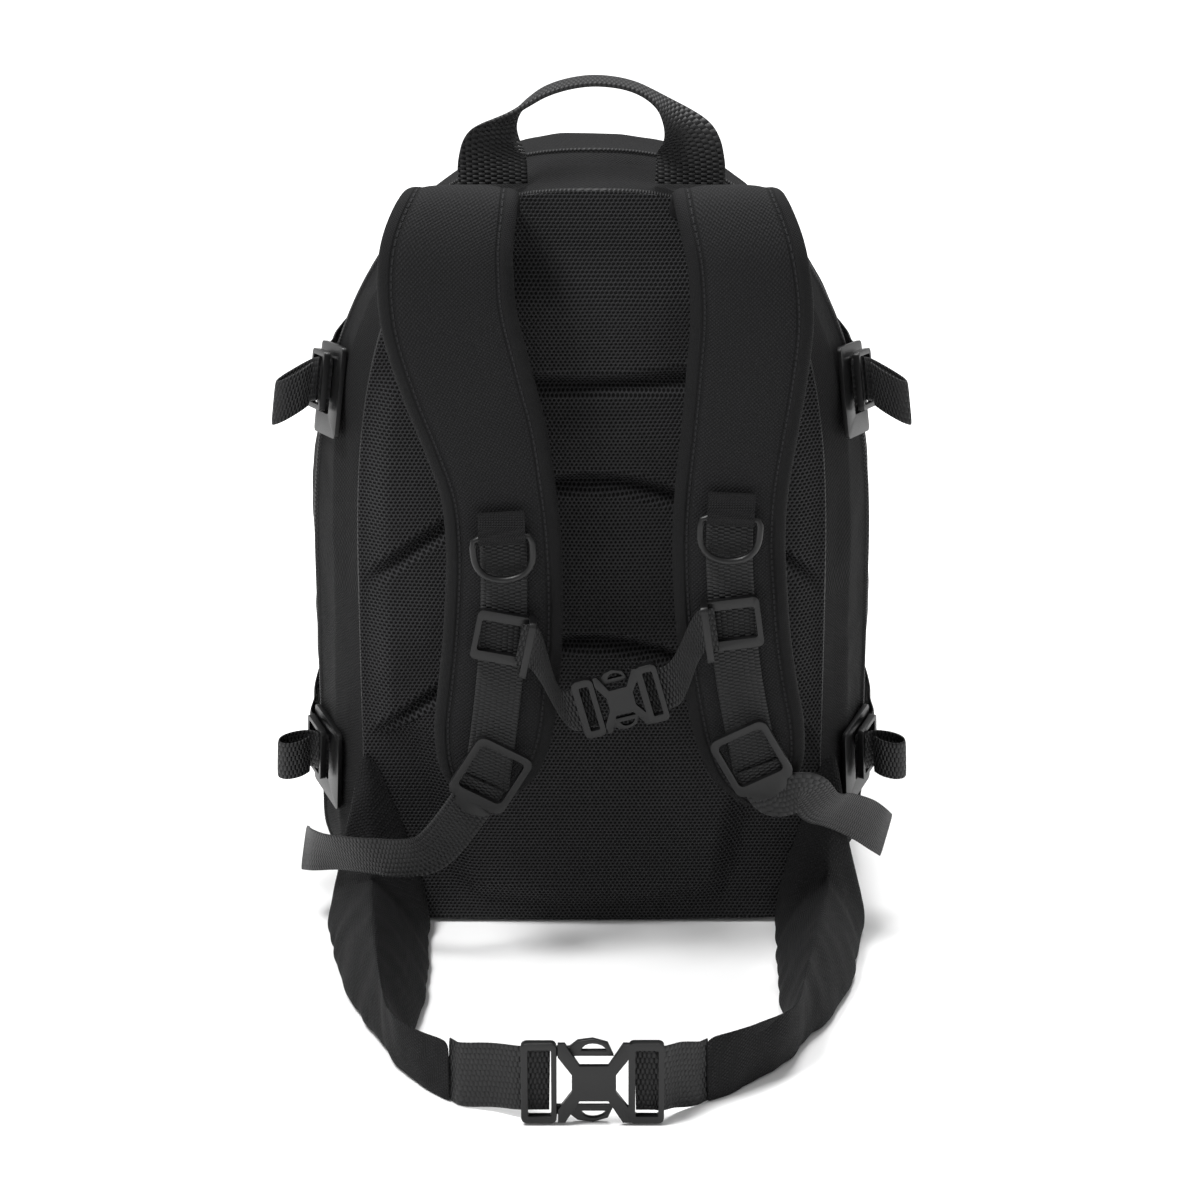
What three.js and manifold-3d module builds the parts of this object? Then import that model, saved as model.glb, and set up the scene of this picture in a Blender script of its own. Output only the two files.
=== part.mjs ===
// A fabric daypack standing on its base, with its harness side towards -Y and the hip belt
// fastened in front of it. Millimetres, +Z up, the floor at Z = 0.
import * as THREE from 'three';
import { mergeVertices } from 'three/addons/utils/BufferGeometryUtils.js';
import Module from 'manifold-3d';

const wasm = await Module();
wasm.setup();

// Clearances.
const SEAM_GAP = 0.4;          // between two panels that are sewn edge to edge
const TOUCH_GAP = 0.3;         // between a piece and the surface it lies on
const BASE_GAP = 0.9;          // between the base and the curved edges of the gussets

// Bag.
const BODY_WIDTH = 315;        // widest place of the bag
const BODY_HEIGHT = 448;       // floor to the crown
const BODY_DEPTH = 200;        // back seam to front seam at the base
const CROWN_DEPTH = 150;       // the same at the crown, because the front leans back
const FRONT_BULGE = 14;        // how far the front panel domes out
const FABRIC = 2;              // wall of the bag
const HARNESS_WIDTH = 254;     // padded back panel
const HARNESS_HEIGHT = 434;
const HARNESS_RIM = 3.6;       // thickness at its bound edge
const HARNESS_PAD = 8;         // how far the pads stand out of it
const ZIP_WIDTH = 8;
const ZIP_RISE = 0.8;          // how far the zip stands out of the cloth
const PULL_LENGTH = 34;

// Shoulder straps.
const STRAP_DROP = 336;        // top seam to the lower tip of the pad
const STRAP_WIDTH = 70;
const STRAP_PAD = 13;
const STRAP_REACH = 49;        // how far the middle of the pad stands off the bag
const WEB_WIDTH = 25;          // webbing of the shoulder, chest and side straps
const WEB = 1.6;               // thickness of all webbing

// Hardware on the shoulder straps.
const RING_WIDTH = 36;
const RING_DROP = 29;
const RING_BAR = 4.4;
const CLIP_WIDTH = 31;
const CLIP_HEIGHT = 29;
const LOCK_WIDTH = 34;
const LOCK_HEIGHT = 46;
const BAR = 3.6;               // bars of the plastic frames
const EYE_SLACK = 1.15;        // room beside the webbing in a clip's eye
const EYE_DEPTH = 15;          // how far the eye stands out of the strap
const CHEST_BUCKLE = 47;       // length of the chest buckle along its strap

// Carry handle.
const HANDLE_RISE = 58;        // its crown above the top seam
const HANDLE_SPREAD = 104;     // between the middles of its sewn ends
const HANDLE_WEB = 37;         // webbing before it is folded

// Hip belt.
const BELT_REACH = 221;        // back seam to the front of the fastened belt
const WING_HEIGHT = 117;       // wing at its root
const WING_WALL = 11;          // padded cloth of a wing
const BELT_WEB = 38;
const BELT_BUCKLE = 74;        // length of the hip buckle along the belt

// Side straps.
const PLATE_HEIGHT = 50;
const PLATE_DEPTH = 38;
const PLATE = 2.4;
const SIDE_BUCKLE = 22;

const BACK = -BODY_DEPTH / 2;
const FLOOR = 0;

const CLOTH = { color: 0x17181b, roughness: 0.86, metalness: 0 };
const MESH_CLOTH = { color: 0x111215, roughness: 0.95, metalness: 0 };
const WEBBING = { color: 0x1c1d20, roughness: 0.8, metalness: 0 };
const PLASTIC = { color: 0x222326, roughness: 0.42, metalness: 0 };

// Cross-sections of the bag from the back seam (share 0) to the front seam (share 1). Width and
// top are shares of the bag's, square is the squareness of the dome, round the corner at the
// base as a share of the width, lift the height of the base edge as a share of the height.
const BAG_RINGS = [
  { share: 0.00, width: 0.806, top: 0.9687, square: 2.9, round: 0.115, lift: 0.004 },
  { share: 0.11, width: 0.910, top: 0.9810, square: 2.6, round: 0.135, lift: 0.000 },
  { share: 0.24, width: 0.972, top: 0.9915, square: 2.4, round: 0.150, lift: 0.000 },
  { share: 0.40, width: 1.000, top: 1.0000, square: 2.2, round: 0.155, lift: 0.000 },
  { share: 0.57, width: 0.994, top: 0.9780, square: 2.1, round: 0.155, lift: 0.000 },
  { share: 0.72, width: 0.970, top: 0.9430, square: 2.1, round: 0.150, lift: 0.000 },
  { share: 0.87, width: 0.920, top: 0.8930, square: 2.2, round: 0.140, lift: 0.004 },
  { share: 1.00, width: 0.850, top: 0.8450, square: 2.3, round: 0.130, lift: 0.020 },
];
const DOME_START = 0.446;      // height where the sides begin to close, share of the bag's height
const REAR_SEAM = 0.24;        // seam between the two gussets
const ZIP_SHARE = 0.62;        // middle of the main zip
const ZIP_END = 0.34;          // height of the zip's two ends, share of the bag's height

// Rows of the harness panel from its lower edge to its crown: the height in the middle and at
// the edge as shares of the panel's height, how far the pad stands out in that row and how much
// of the row's width it fills.
const HARNESS_ROWS = [
  { middle: 0.004, edge: 0.008, pad: 0.00, spread: 0.58 },
  { middle: 0.022, edge: 0.075, pad: 0.10, spread: 0.60 },
  { middle: 0.060, edge: 0.110, pad: 0.75, spread: 0.64 },
  { middle: 0.190, edge: 0.150, pad: 1.00, spread: 0.70 },
  { middle: 0.330, edge: 0.205, pad: 1.00, spread: 0.78 },
  { middle: 0.392, edge: 0.243, pad: 0.85, spread: 0.86 },
  { middle: 0.410, edge: 0.259, pad: 0.20, spread: 1.00 },
  { middle: 0.428, edge: 0.277, pad: 0.85, spread: 1.00 },
  { middle: 0.520, edge: 0.365, pad: 1.00, spread: 1.00 },
  { middle: 0.610, edge: 0.458, pad: 0.85, spread: 1.00 },
  { middle: 0.629, edge: 0.478, pad: 0.20, spread: 1.00 },
  { middle: 0.648, edge: 0.500, pad: 0.85, spread: 1.00 },
  { middle: 0.695, edge: 0.620, pad: 0.95, spread: 1.00 },
  { middle: 0.738, edge: 0.742, pad: 0.80, spread: 1.00 },
  { middle: 0.756, edge: 0.790, pad: 0.20, spread: 1.00 },
  { middle: 0.775, edge: 0.822, pad: 0.85, spread: 1.00 },
  { middle: 0.860, edge: 0.872, pad: 1.10, spread: 1.00 },
  { middle: 0.940, edge: 0.915, pad: 0.00, spread: 1.00 },
  { middle: 1.000, edge: 0.945, pad: 0.00, spread: 1.00 },
];

// The pad of each shoulder strap from the top seam to its tip: down is a share of the strap's
// drop, aside the middle of the pad as a share of half the harness panel, width a share of the
// strap's width and off a share of the strap's reach.
const STRAP_LEFT = [
  { down: 0.034, aside: -0.535, width: 0.86, off: 0.12 },
  { down: -0.008, aside: -0.550, width: 0.92, off: 0.40 },
  { down: 0.006, aside: -0.580, width: 1.00, off: 0.68 },
  { down: 0.070, aside: -0.600, width: 1.02, off: 0.92 },
  { down: 0.160, aside: -0.585, width: 1.02, off: 0.97 },
  { down: 0.260, aside: -0.520, width: 1.00, off: 0.97 },
  { down: 0.355, aside: -0.445, width: 0.95, off: 0.97 },
  { down: 0.445, aside: -0.392, width: 0.88, off: 0.98 },
  { down: 0.530, aside: -0.370, width: 0.88, off: 0.99 },
  { down: 0.620, aside: -0.368, width: 0.90, off: 1.00 },
  { down: 0.710, aside: -0.378, width: 0.92, off: 1.00 },
  { down: 0.800, aside: -0.400, width: 0.93, off: 0.98 },
  { down: 0.880, aside: -0.425, width: 0.91, off: 0.95 },
  { down: 0.950, aside: -0.450, width: 0.74, off: 0.92 },
  { down: 1.000, aside: -0.465, width: 0.34, off: 0.90 },
];
const STRAP_RIGHT = [
  { down: 0.034, aside: 0.560, width: 0.86, off: 0.12 },
  { down: -0.008, aside: 0.580, width: 0.88, off: 0.40 },
  { down: 0.006, aside: 0.610, width: 0.90, off: 0.68 },
  { down: 0.070, aside: 0.645, width: 0.90, off: 0.92 },
  { down: 0.160, aside: 0.658, width: 0.92, off: 0.97 },
  { down: 0.260, aside: 0.640, width: 0.91, off: 0.97 },
  { down: 0.355, aside: 0.612, width: 0.88, off: 0.97 },
  { down: 0.445, aside: 0.585, width: 0.86, off: 0.98 },
  { down: 0.530, aside: 0.575, width: 0.86, off: 0.99 },
  { down: 0.620, aside: 0.585, width: 0.87, off: 1.00 },
  { down: 0.710, aside: 0.605, width: 0.87, off: 1.00 },
  { down: 0.800, aside: 0.640, width: 0.87, off: 0.98 },
  { down: 0.880, aside: 0.680, width: 0.85, off: 0.95 },
  { down: 0.950, aside: 0.715, width: 0.70, off: 0.92 },
  { down: 1.000, aside: 0.740, width: 0.34, off: 0.90 },
];

// Each wing of the hip belt from its root to its sewn end. Reach is how far forward, a share of
// the belt's reach; the rest are shares of half the bag's width and of the wing's height: the
// lower outer edge, the lower inner edge and the seam along the top, and how deep it is hollow.
const WING_LEFT = [
  { outReach: 0.004, out: 0.905, inReach: 0.004, in: 0.565,
    ridgeReach: 0.004, ridge: 0.800, top: 1.00, hollow: 0.45 },
  { outReach: 0.045, out: 0.960, inReach: 0.045, in: 0.562,
    ridgeReach: 0.040, ridge: 0.790, top: 0.72, hollow: 0.50 },
  { outReach: 0.090, out: 0.955, inReach: 0.090, in: 0.560,
    ridgeReach: 0.090, ridge: 0.782, top: 0.50, hollow: 0.62 },
  { outReach: 0.160, out: 0.938, inReach: 0.155, in: 0.558,
    ridgeReach: 0.160, ridge: 0.775, top: 0.42, hollow: 0.62 },
  { outReach: 0.229, out: 0.921, inReach: 0.225, in: 0.556,
    ridgeReach: 0.240, ridge: 0.768, top: 0.41, hollow: 0.62 },
  { outReach: 0.381, out: 0.876, inReach: 0.340, in: 0.556,
    ridgeReach: 0.375, ridge: 0.755, top: 0.40, hollow: 0.60 },
  { outReach: 0.511, out: 0.806, inReach: 0.450, in: 0.562,
    ridgeReach: 0.515, ridge: 0.736, top: 0.38, hollow: 0.55 },
  { outReach: 0.637, out: 0.724, inReach: 0.560, in: 0.590,
    ridgeReach: 0.650, ridge: 0.712, top: 0.36, hollow: 0.35 },
  { outReach: 0.731, out: 0.670, inReach: 0.686, in: 0.602,
    ridgeReach: 0.775, ridge: 0.677, top: 0.35, hollow: 0.12 },
  { outReach: 0.839, out: 0.562, inReach: 0.807, in: 0.543,
    ridgeReach: 0.852, ridge: 0.581, top: 0.34, hollow: 0.06 },
  { outReach: 0.900, out: 0.470, inReach: 0.878, in: 0.460,
    ridgeReach: 0.902, ridge: 0.470, top: 0.34, hollow: 0.04 },
];
const WING_RIGHT = [
  { outReach: 0.004, out: 0.925, inReach: 0.004, in: 0.640,
    ridgeReach: 0.004, ridge: 0.850, top: 1.00, hollow: 0.45 },
  { outReach: 0.045, out: 0.985, inReach: 0.045, in: 0.638,
    ridgeReach: 0.040, ridge: 0.845, top: 0.72, hollow: 0.50 },
  { outReach: 0.090, out: 0.985, inReach: 0.090, in: 0.636,
    ridgeReach: 0.090, ridge: 0.838, top: 0.50, hollow: 0.62 },
  { outReach: 0.160, out: 0.965, inReach: 0.155, in: 0.634,
    ridgeReach: 0.160, ridge: 0.828, top: 0.42, hollow: 0.62 },
  { outReach: 0.229, out: 0.950, inReach: 0.225, in: 0.633,
    ridgeReach: 0.240, ridge: 0.815, top: 0.41, hollow: 0.62 },
  { outReach: 0.381, out: 0.914, inReach: 0.340, in: 0.633,
    ridgeReach: 0.375, ridge: 0.785, top: 0.40, hollow: 0.60 },
  { outReach: 0.511, out: 0.838, inReach: 0.450, in: 0.636,
    ridgeReach: 0.515, ridge: 0.748, top: 0.38, hollow: 0.55 },
  { outReach: 0.637, out: 0.724, inReach: 0.560, in: 0.640,
    ridgeReach: 0.650, ridge: 0.715, top: 0.36, hollow: 0.35 },
  { outReach: 0.731, out: 0.660, inReach: 0.690, in: 0.600,
    ridgeReach: 0.750, ridge: 0.680, top: 0.34, hollow: 0.12 },
  { outReach: 0.839, out: 0.508, inReach: 0.807, in: 0.490,
    ridgeReach: 0.845, ridge: 0.500, top: 0.34, hollow: 0.06 },
  { outReach: 0.905, out: 0.385, inReach: 0.882, in: 0.372,
    ridgeReach: 0.898, ridge: 0.379, top: 0.35, hollow: 0.04 },
];

// The webbing that runs from each lock over the wing to the side of the bag: reach is how far
// forward of the back seam, aside and up shares of half the bag's width and of the wing's height.
const LOWER_LEFT = [
  { reach: 0.245, aside: -0.570, up: 0.60 },
  { reach: 0.232, aside: -0.680, up: 0.56 },
  { reach: 0.205, aside: -0.780, up: 0.545 },
  { reach: 0.140, aside: -0.895, up: 0.500 },
  { reach: 0.060, aside: -0.985, up: 0.440 },
  { reach: -0.030, aside: -1.030, up: 0.360 },
];
const LOWER_RIGHT = [
  { reach: 0.245, aside: 0.735, up: 0.93 },
  { reach: 0.200, aside: 0.800, up: 0.80 },
  { reach: 0.135, aside: 0.868, up: 0.72 },
  { reach: 0.060, aside: 0.960, up: 0.60 },
  { reach: 0.000, aside: 1.020, up: 0.49 },
  { reach: -0.060, aside: 1.055, up: 0.40 },
];

// The plates and straps on the two sides: height and place as shares of the bag's height and
// depth, the tail's length as a share of the webbing's width, its droop in degrees, and where its
// root starts and how deep it sinks into the buckle as shares of that length.
const SIDE_STRAPS = [
  { name: 'upper', height: 0.692, share: 0.185, buckle: 0.24, tail: 0.85, droop: 34,
    root: 0.25, sink: 0.06 },
  { name: 'lower', height: 0.195, share: 0.160, buckle: 0.30, tail: 0.80, droop: 6,
    root: 0.33, sink: 0.14 },
];

const pack = new THREE.Group();

/** Adds one named piece with a material of its own. */
function add(name, geometry, look, frame) {
  const mesh = new THREE.Mesh(geometry, new THREE.MeshStandardMaterial(look));
  mesh.name = name;
  if (frame) mesh.applyMatrix4(frame);
  pack.add(mesh);
  return mesh;
}

/** A smooth reading of one column between the rows of a table. */
function column(rows, by, key, at) {
  let i = 0;
  while (i < rows.length - 2 && at > rows[i + 1][by]) i += 1;
  const slope = (k) => {
    const a = rows[Math.max(k - 1, 0)];
    const b = rows[Math.min(k + 1, rows.length - 1)];
    return (b[key] - a[key]) / (b[by] - a[by]);
  };
  const a = rows[i];
  const b = rows[i + 1];
  const span = b[by] - a[by];
  const t = Math.min(Math.max((at - a[by]) / span, 0), 1);
  return a[key] * (2 * t ** 3 - 3 * t ** 2 + 1) + slope(i) * span * (t ** 3 - 2 * t ** 2 + t)
    + b[key] * (3 * t ** 2 - 2 * t ** 3) + slope(i + 1) * span * (t ** 3 - t ** 2);
}

/** Rows with an even run from 0 to 1, so that a table can be read along its length. */
const numbered = (rows) => rows.map((row, i) => ({ ...row, run: i / (rows.length - 1) }));

/** A closed solid from triangles, turned the right way out. */
function solid(points, faces) {
  let volume = 0;
  const v = (i) => points[i];
  for (const [a, b, c] of faces) volume += v(a).dot(v(b).clone().cross(v(c)));
  const geometry = new THREE.BufferGeometry();
  const flat = points.flatMap((p) => [p.x, p.y, p.z]);
  geometry.setAttribute('position', new THREE.Float32BufferAttribute(flat, 3));
  geometry.setIndex(faces.flatMap(([a, b, c]) => (volume > 0 ? [a, b, c] : [a, c, b])));
  geometry.computeVertexNormals();
  return geometry;
}

/** A wall between two surfaces given over u and v from 0 to 1. */
function wall(columns, rows, outer, inner) {
  const points = [];
  const faces = [];
  const at = (side, i, j) => side * (columns + 1) * (rows + 1) + j * (columns + 1) + i;
  for (const surface of [outer, inner]) {
    for (let j = 0; j <= rows; j += 1) {
      for (let i = 0; i <= columns; i += 1) points.push(surface(i / columns, j / rows, i, j));
    }
  }
  const quad = (a, b, c, d) => faces.push([a, b, c], [a, c, d]);
  for (let j = 0; j < rows; j += 1) {
    for (let i = 0; i < columns; i += 1) {
      quad(at(0, i, j), at(0, i + 1, j), at(0, i + 1, j + 1), at(0, i, j + 1));
      quad(at(1, i, j), at(1, i, j + 1), at(1, i + 1, j + 1), at(1, i + 1, j));
    }
  }
  for (let i = 0; i < columns; i += 1) {
    quad(at(0, i + 1, 0), at(0, i, 0), at(1, i, 0), at(1, i + 1, 0));
    quad(at(0, i, rows), at(0, i + 1, rows), at(1, i + 1, rows), at(1, i, rows));
  }
  for (let j = 0; j < rows; j += 1) {
    quad(at(0, 0, j), at(0, 0, j + 1), at(1, 0, j + 1), at(1, 0, j));
    quad(at(0, columns, j + 1), at(0, columns, j), at(1, columns, j), at(1, columns, j + 1));
  }
  return solid(points, faces);
}

/** A solid through closed outlines that all have the same number of points. */
function loft(outlines, looped = false) {
  const count = outlines[0].length;
  const points = outlines.flat();
  const faces = [];
  const last = looped ? outlines.length : outlines.length - 1;
  for (let i = 0; i < last; i += 1) {
    const next = (i + 1) % outlines.length;
    for (let j = 0; j < count; j += 1) {
      const k = (j + 1) % count;
      const [a, b, c, d] = [i * count + j, i * count + k, next * count + k, next * count + j];
      faces.push([a, b, c], [a, c, d]);
    }
  }
  if (looped) return solid(points, faces);
  for (const [row, ahead] of [[0, 1], [outlines.length - 1, -1]]) {
    const outline = outlines[row];
    const normal = new THREE.Vector3();
    for (let j = 0; j < count; j += 1) {
      normal.add(outline[j].clone().cross(outline[(j + 1) % count]));
    }
    normal.normalize();
    const x = outline[1].clone().sub(outline[0]).normalize();
    const y = normal.clone().cross(x).normalize();
    const flat = outline.map((p) => new THREE.Vector2(p.dot(x), p.dot(y)));
    for (const [a, b, c] of THREE.ShapeUtils.triangulateShape(flat, [])) {
      const [p, q, r] = [row * count + a, row * count + b, row * count + c];
      faces.push(ahead > 0 ? [p, r, q] : [p, q, r]);
    }
  }
  return solid(points, faces);
}

/** A frame with its x axis along across, its z axis along out and its origin at a point. */
function frameAt(origin, across, out) {
  const z = out.clone().normalize();
  const y = z.clone().cross(across).normalize();
  const x = y.clone().cross(z).normalize();
  return new THREE.Matrix4().makeBasis(x, y, z).setPosition(origin);
}

/** A flat band along stations that each have a point, an across direction, width and thickness;
 * a skewed station keeps its across direction, and no point lies behind the given depth. */
function band(stations, shape = bandOutline, rearmost = Infinity) {
  const outlines = stations.map((station, i) => {
    const before = stations[Math.max(i - 1, 0)].at;
    const after = stations[Math.min(i + 1, stations.length - 1)].at;
    const along = after.clone().sub(before).normalize();
    const across = station.across.clone();
    if (!station.skewed) across.addScaledVector(along, -across.dot(along));
    across.normalize();
    const up = along.clone().cross(across).normalize();
    return shape(station.width, station.thick).map(([a, b]) => {
      const point = station.at.clone().addScaledVector(across, a).addScaledVector(up, b);
      return point.setY(Math.min(point.y, rearmost));
    });
  });
  return loft(outlines);
}
const bandOutline = (w, t) => [[-w / 2, -t / 2], [w / 2, -t / 2], [w / 2, t / 2], [-w / 2, t / 2]];
const padOutline = (w, t) => {
  const edge = Math.min(8, w * 0.3);
  return [[-w / 2 + edge, -t / 2], [0, -t * 0.53], [w / 2 - edge, -t / 2], [w / 2, -t * 0.22],
    [w / 2, t * 0.22], [w / 2 - edge, t / 2], [0, t * 0.53], [-w / 2 + edge, t / 2],
    [-w / 2, t * 0.22], [-w / 2, -t * 0.22]];
};

/** Stations of a webbing that runs through a few points. */
function webPath(points, across, width, steps, thick = WEB) {
  const curve = new THREE.CatmullRomCurve3(points, false, 'centripetal');
  const turn = Array.isArray(across) ? across : [across, across];
  return Array.from({ length: steps + 1 }, (_, i) => {
    const t = i / steps;
    const k = Math.min(Math.floor(t * (turn.length - 1)), turn.length - 2);
    const mix = t * (turn.length - 1) - k;
    return { at: curve.getPoint(t), across: turn[k].clone().lerp(turn[k + 1], mix), width, thick };
  });
}

/** A rounded rectangle as a shape or a hole. */
function rounded(target, x0, y0, x1, y1, r) {
  target.moveTo(x0 + r, y0);
  target.lineTo(x1 - r, y0);
  target.absarc(x1 - r, y0 + r, r, -Math.PI / 2, 0, false);
  target.lineTo(x1, y1 - r);
  target.absarc(x1 - r, y1 - r, r, 0, Math.PI / 2, false);
  target.lineTo(x0 + r, y1);
  target.absarc(x0 + r, y1 - r, r, Math.PI / 2, Math.PI, false);
  target.lineTo(x0, y0 + r);
  target.absarc(x0 + r, y0 + r, r, Math.PI, Math.PI * 1.5, false);
  return target;
}
const box = (x0, y0, x1, y1, r = 1) => rounded(new THREE.Shape(), x0, y0, x1, y1, r);
const hole = (x0, y0, x1, y1, r = 1) => rounded(new THREE.Path(), x0, y0, x1, y1, r);

/** A flat shape as thick as given, standing on z. */
function slab(shape, z, thick, curveSegments = 2) {
  const options = { depth: thick, bevelEnabled: false, curveSegments };
  return new THREE.ExtrudeGeometry(shape, options).translate(0, 0, z);
}

/** The three.js geometry as a manifold solid. */
function toManifold(geometry) {
  const plain = geometry.clone();
  plain.deleteAttribute('normal');
  plain.deleteAttribute('uv');
  const merged = mergeVertices(plain, 1e-3);
  const triangles = [];
  for (let i = 0; i < merged.index.count; i += 3) {
    const [a, b, c] = [0, 1, 2].map((k) => merged.index.getX(i + k));
    if (a !== b && b !== c && c !== a) triangles.push(a, b, c);
  }
  return new wasm.Manifold(new wasm.Mesh({
    numProp: 3,
    vertProperties: new Float32Array(merged.attributes.position.array),
    triVerts: new Uint32Array(triangles),
  }));
}
function fromManifold(body) {
  const { vertProperties, triVerts } = body.getMesh();
  const geometry = new THREE.BufferGeometry();
  geometry.setAttribute('position', new THREE.BufferAttribute(vertProperties, 3));
  geometry.setIndex(new THREE.BufferAttribute(triVerts, 1));
  geometry.computeVertexNormals();
  return geometry;
}
const join = (...parts) => fromManifold(parts.map(toManifold).reduce((a, b) => a.add(b)));
const cut = (body, tool) => fromManifold(toManifold(body).subtract(toManifold(tool)));

// Bag.

/** The sizes of the bag's cross-section at a share of its depth. */
function ring(share) {
  const read = (key) => column(BAG_RINGS, 'share', key, share);
  const half = read('width') * BODY_WIDTH / 2;
  return {
    half,
    top: read('top') * BODY_HEIGHT,
    square: read('square'),
    round: read('round') * BODY_WIDTH,
    lift: FLOOR + Math.max(0, read('lift')) * BODY_HEIGHT,
  };
}

/** How deep the bag is at a height. */
function depthAt(z) {
  const t = Math.min(Math.max((z / BODY_HEIGHT - 0.2) / 0.8, 0), 1);
  return BODY_DEPTH - (BODY_DEPTH - CROWN_DEPTH) * t * t * (3 - 2 * t);
}

const DOME = 0.56;
const SIDE = 0.86;
/** A point of the bag: turn runs from -1 at the left base edge over the crown to 1. */
function bagPoint(turn, share, inset = 0) {
  const { half, top, square, round, lift } = ring(share);
  const w = half - inset;
  const start = DOME_START * BODY_HEIGHT;
  const a = Math.abs(turn);
  const sign = turn < 0 ? -1 : 1;
  let x;
  let z;
  if (a <= DOME) {
    const angle = (1 - a / DOME) * Math.PI / 2;
    x = w * Math.cos(angle) ** (2 / square);
    z = start + (top - inset - start) * Math.sin(angle) ** (2 / square);
  } else if (a <= SIDE) {
    x = w;
    z = start + (round + lift - start) * (a - DOME) / (SIDE - DOME);
  } else {
    const angle = (a - SIDE) / (1 - SIDE) * Math.PI / 2;
    x = half - round + (round - inset) * Math.cos(angle);
    z = lift + round - (round - inset) * Math.sin(angle);
  }
  return new THREE.Vector3(sign * x, BACK + share * depthAt(z), z);
}

/** The turn at which the side of the bag reaches a height. */
function turnAt(share, z) {
  let low = 0;
  let high = 1;
  for (let i = 0; i < 30; i += 1) {
    const middle = (low + high) / 2;
    if (bagPoint(middle, share).z > z) low = middle;
    else high = middle;
  }
  return (low + high) / 2;
}

/** A strip of the bag's cloth between two shares of the depth and two turns. */
function gusset(from, to, turnFrom, turnTo, columns, rows, rise = 0, thick = FABRIC) {
  const surface = (inset) => (u, v) => bagPoint(turnFrom + (turnTo - turnFrom) * u,
    from + (to - from) * v, inset);
  return wall(columns, rows, surface(-rise), surface(thick));
}

const seamShare = SEAM_GAP / CROWN_DEPTH;
const zipHalf = ZIP_WIDTH / 2 / CROWN_DEPTH;
const zipTurn = turnAt(ZIP_SHARE, ZIP_END * BODY_HEIGHT);
add('rear_gusset', gusset(0, REAR_SEAM, -1, 1, 36, 3), CLOTH);
{
  const cloth = gusset(REAR_SEAM + seamShare, 1, -1, 1, 36, 4);
  const slotHalf = zipHalf + seamShare;
  const slotTurn = zipTurn + seamShare;
  const slot = gusset(ZIP_SHARE - slotHalf, ZIP_SHARE + slotHalf, -slotTurn, slotTurn, 30, 1,
    FABRIC * 2, FABRIC * 3);
  add('front_gusset', cut(cloth, slot), CLOTH);
}
add('main_zip', gusset(ZIP_SHARE - zipHalf, ZIP_SHARE + zipHalf, -zipTurn, zipTurn, 30, 1,
  ZIP_RISE), WEBBING);

{
  // The front panel closes the last ring and domes forwards.
  const rows = 10;
  const front = (inset) => (u, v) => {
    const { half, top, square, lift, round } = ring(1);
    const start = DOME_START * BODY_HEIGHT;
    const low = lift + round * 0.12;
    const angle = v * Math.PI / 2;
    const reach = v > 0.5 ? (v - 0.5) * 2 : 0;
    const high = start + (top - start) * Math.sin(reach * Math.PI / 2 * 0.94) ** (2 / square);
    const z = v > 0.5 ? high : low + (start - low) * v * 2;
    let w = half;
    if (z > start) w = half * (1 - ((z - start) / (top - start)) ** square) ** (1 / square);
    if (z < lift + round) w = half - round + Math.sqrt(round ** 2 - (lift + round - z) ** 2);
    const a = 2 * u - 1;
    const dome = FRONT_BULGE * (1 - Math.abs(a) ** 2.4) * Math.min(1, Math.sin(angle * 2) * 1.6);
    return new THREE.Vector3(a * w, BACK + depthAt(z) + SEAM_GAP + FABRIC - inset + dome, z);
  };
  add('front_panel', wall(12, rows, front(0), front(FABRIC)), CLOTH);
}

{
  // The base lies flat on the floor between the lower edges of the gussets.
  const base = (rise) => (u, v) => {
    const { half, round, lift } = ring(v);
    const w = half - round - BASE_GAP;
    const y = BACK + v * BODY_DEPTH;
    return new THREE.Vector3((2 * u - 1) * w, y, lift + rise);
  };
  add('base_panel', wall(4, 12, base(0), base(FABRIC)), CLOTH);
}

/** Half the harness panel's width at a height. */
function harnessHalf(z) {
  const { square, round } = ring(0);
  const half = HARNESS_WIDTH / 2;
  const start = DOME_START * BODY_HEIGHT;
  if (z > start) {
    return half * Math.max(0, 1 - ((z - start) / (HARNESS_HEIGHT - start)) ** square) ** (1 / square);
  }
  if (z < round) return half - round + Math.sqrt(Math.max(0, round ** 2 - (round - z) ** 2));
  return half;
}

/** How far the harness panel stands off the bag. */
function harnessOut(u, row) {
  const a = Math.abs(2 * u - 1);
  const { pad, spread } = HARNESS_ROWS[row];
  const side = Math.min(Math.max((spread - a) * 6, 0), 1);
  return HARNESS_RIM + HARNESS_PAD * pad * side * (0.75 + 0.25 * (1 - a * a));
}

{
  const last = HARNESS_ROWS.length - 1;
  const panel = (outside) => (u, v, i, row) => {
    const { middle, edge } = HARNESS_ROWS[row];
    const a = 2 * u - 1;
    const edgeHeight = edge * HARNESS_HEIGHT;
    const half = harnessHalf(edgeHeight);
    const x = a * half;
    let z = edgeHeight + (middle * HARNESS_HEIGHT - edgeHeight) * (1 - Math.abs(a) ** 1.8);
    if (row === last) {
      const start = DOME_START * BODY_HEIGHT;
      const share = Math.abs(x) / (HARNESS_WIDTH / 2);
      const { square } = ring(0);
      z = start + (HARNESS_HEIGHT - start) * (1 - share ** square) ** (1 / square);
    }
    const out = outside ? harnessOut(u, row) : 0;
    return new THREE.Vector3(x, BACK - TOUCH_GAP - out, z);
  };
  add('harness_panel', wall(16, last, panel(true), panel(false)), MESH_CLOTH);
}

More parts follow.
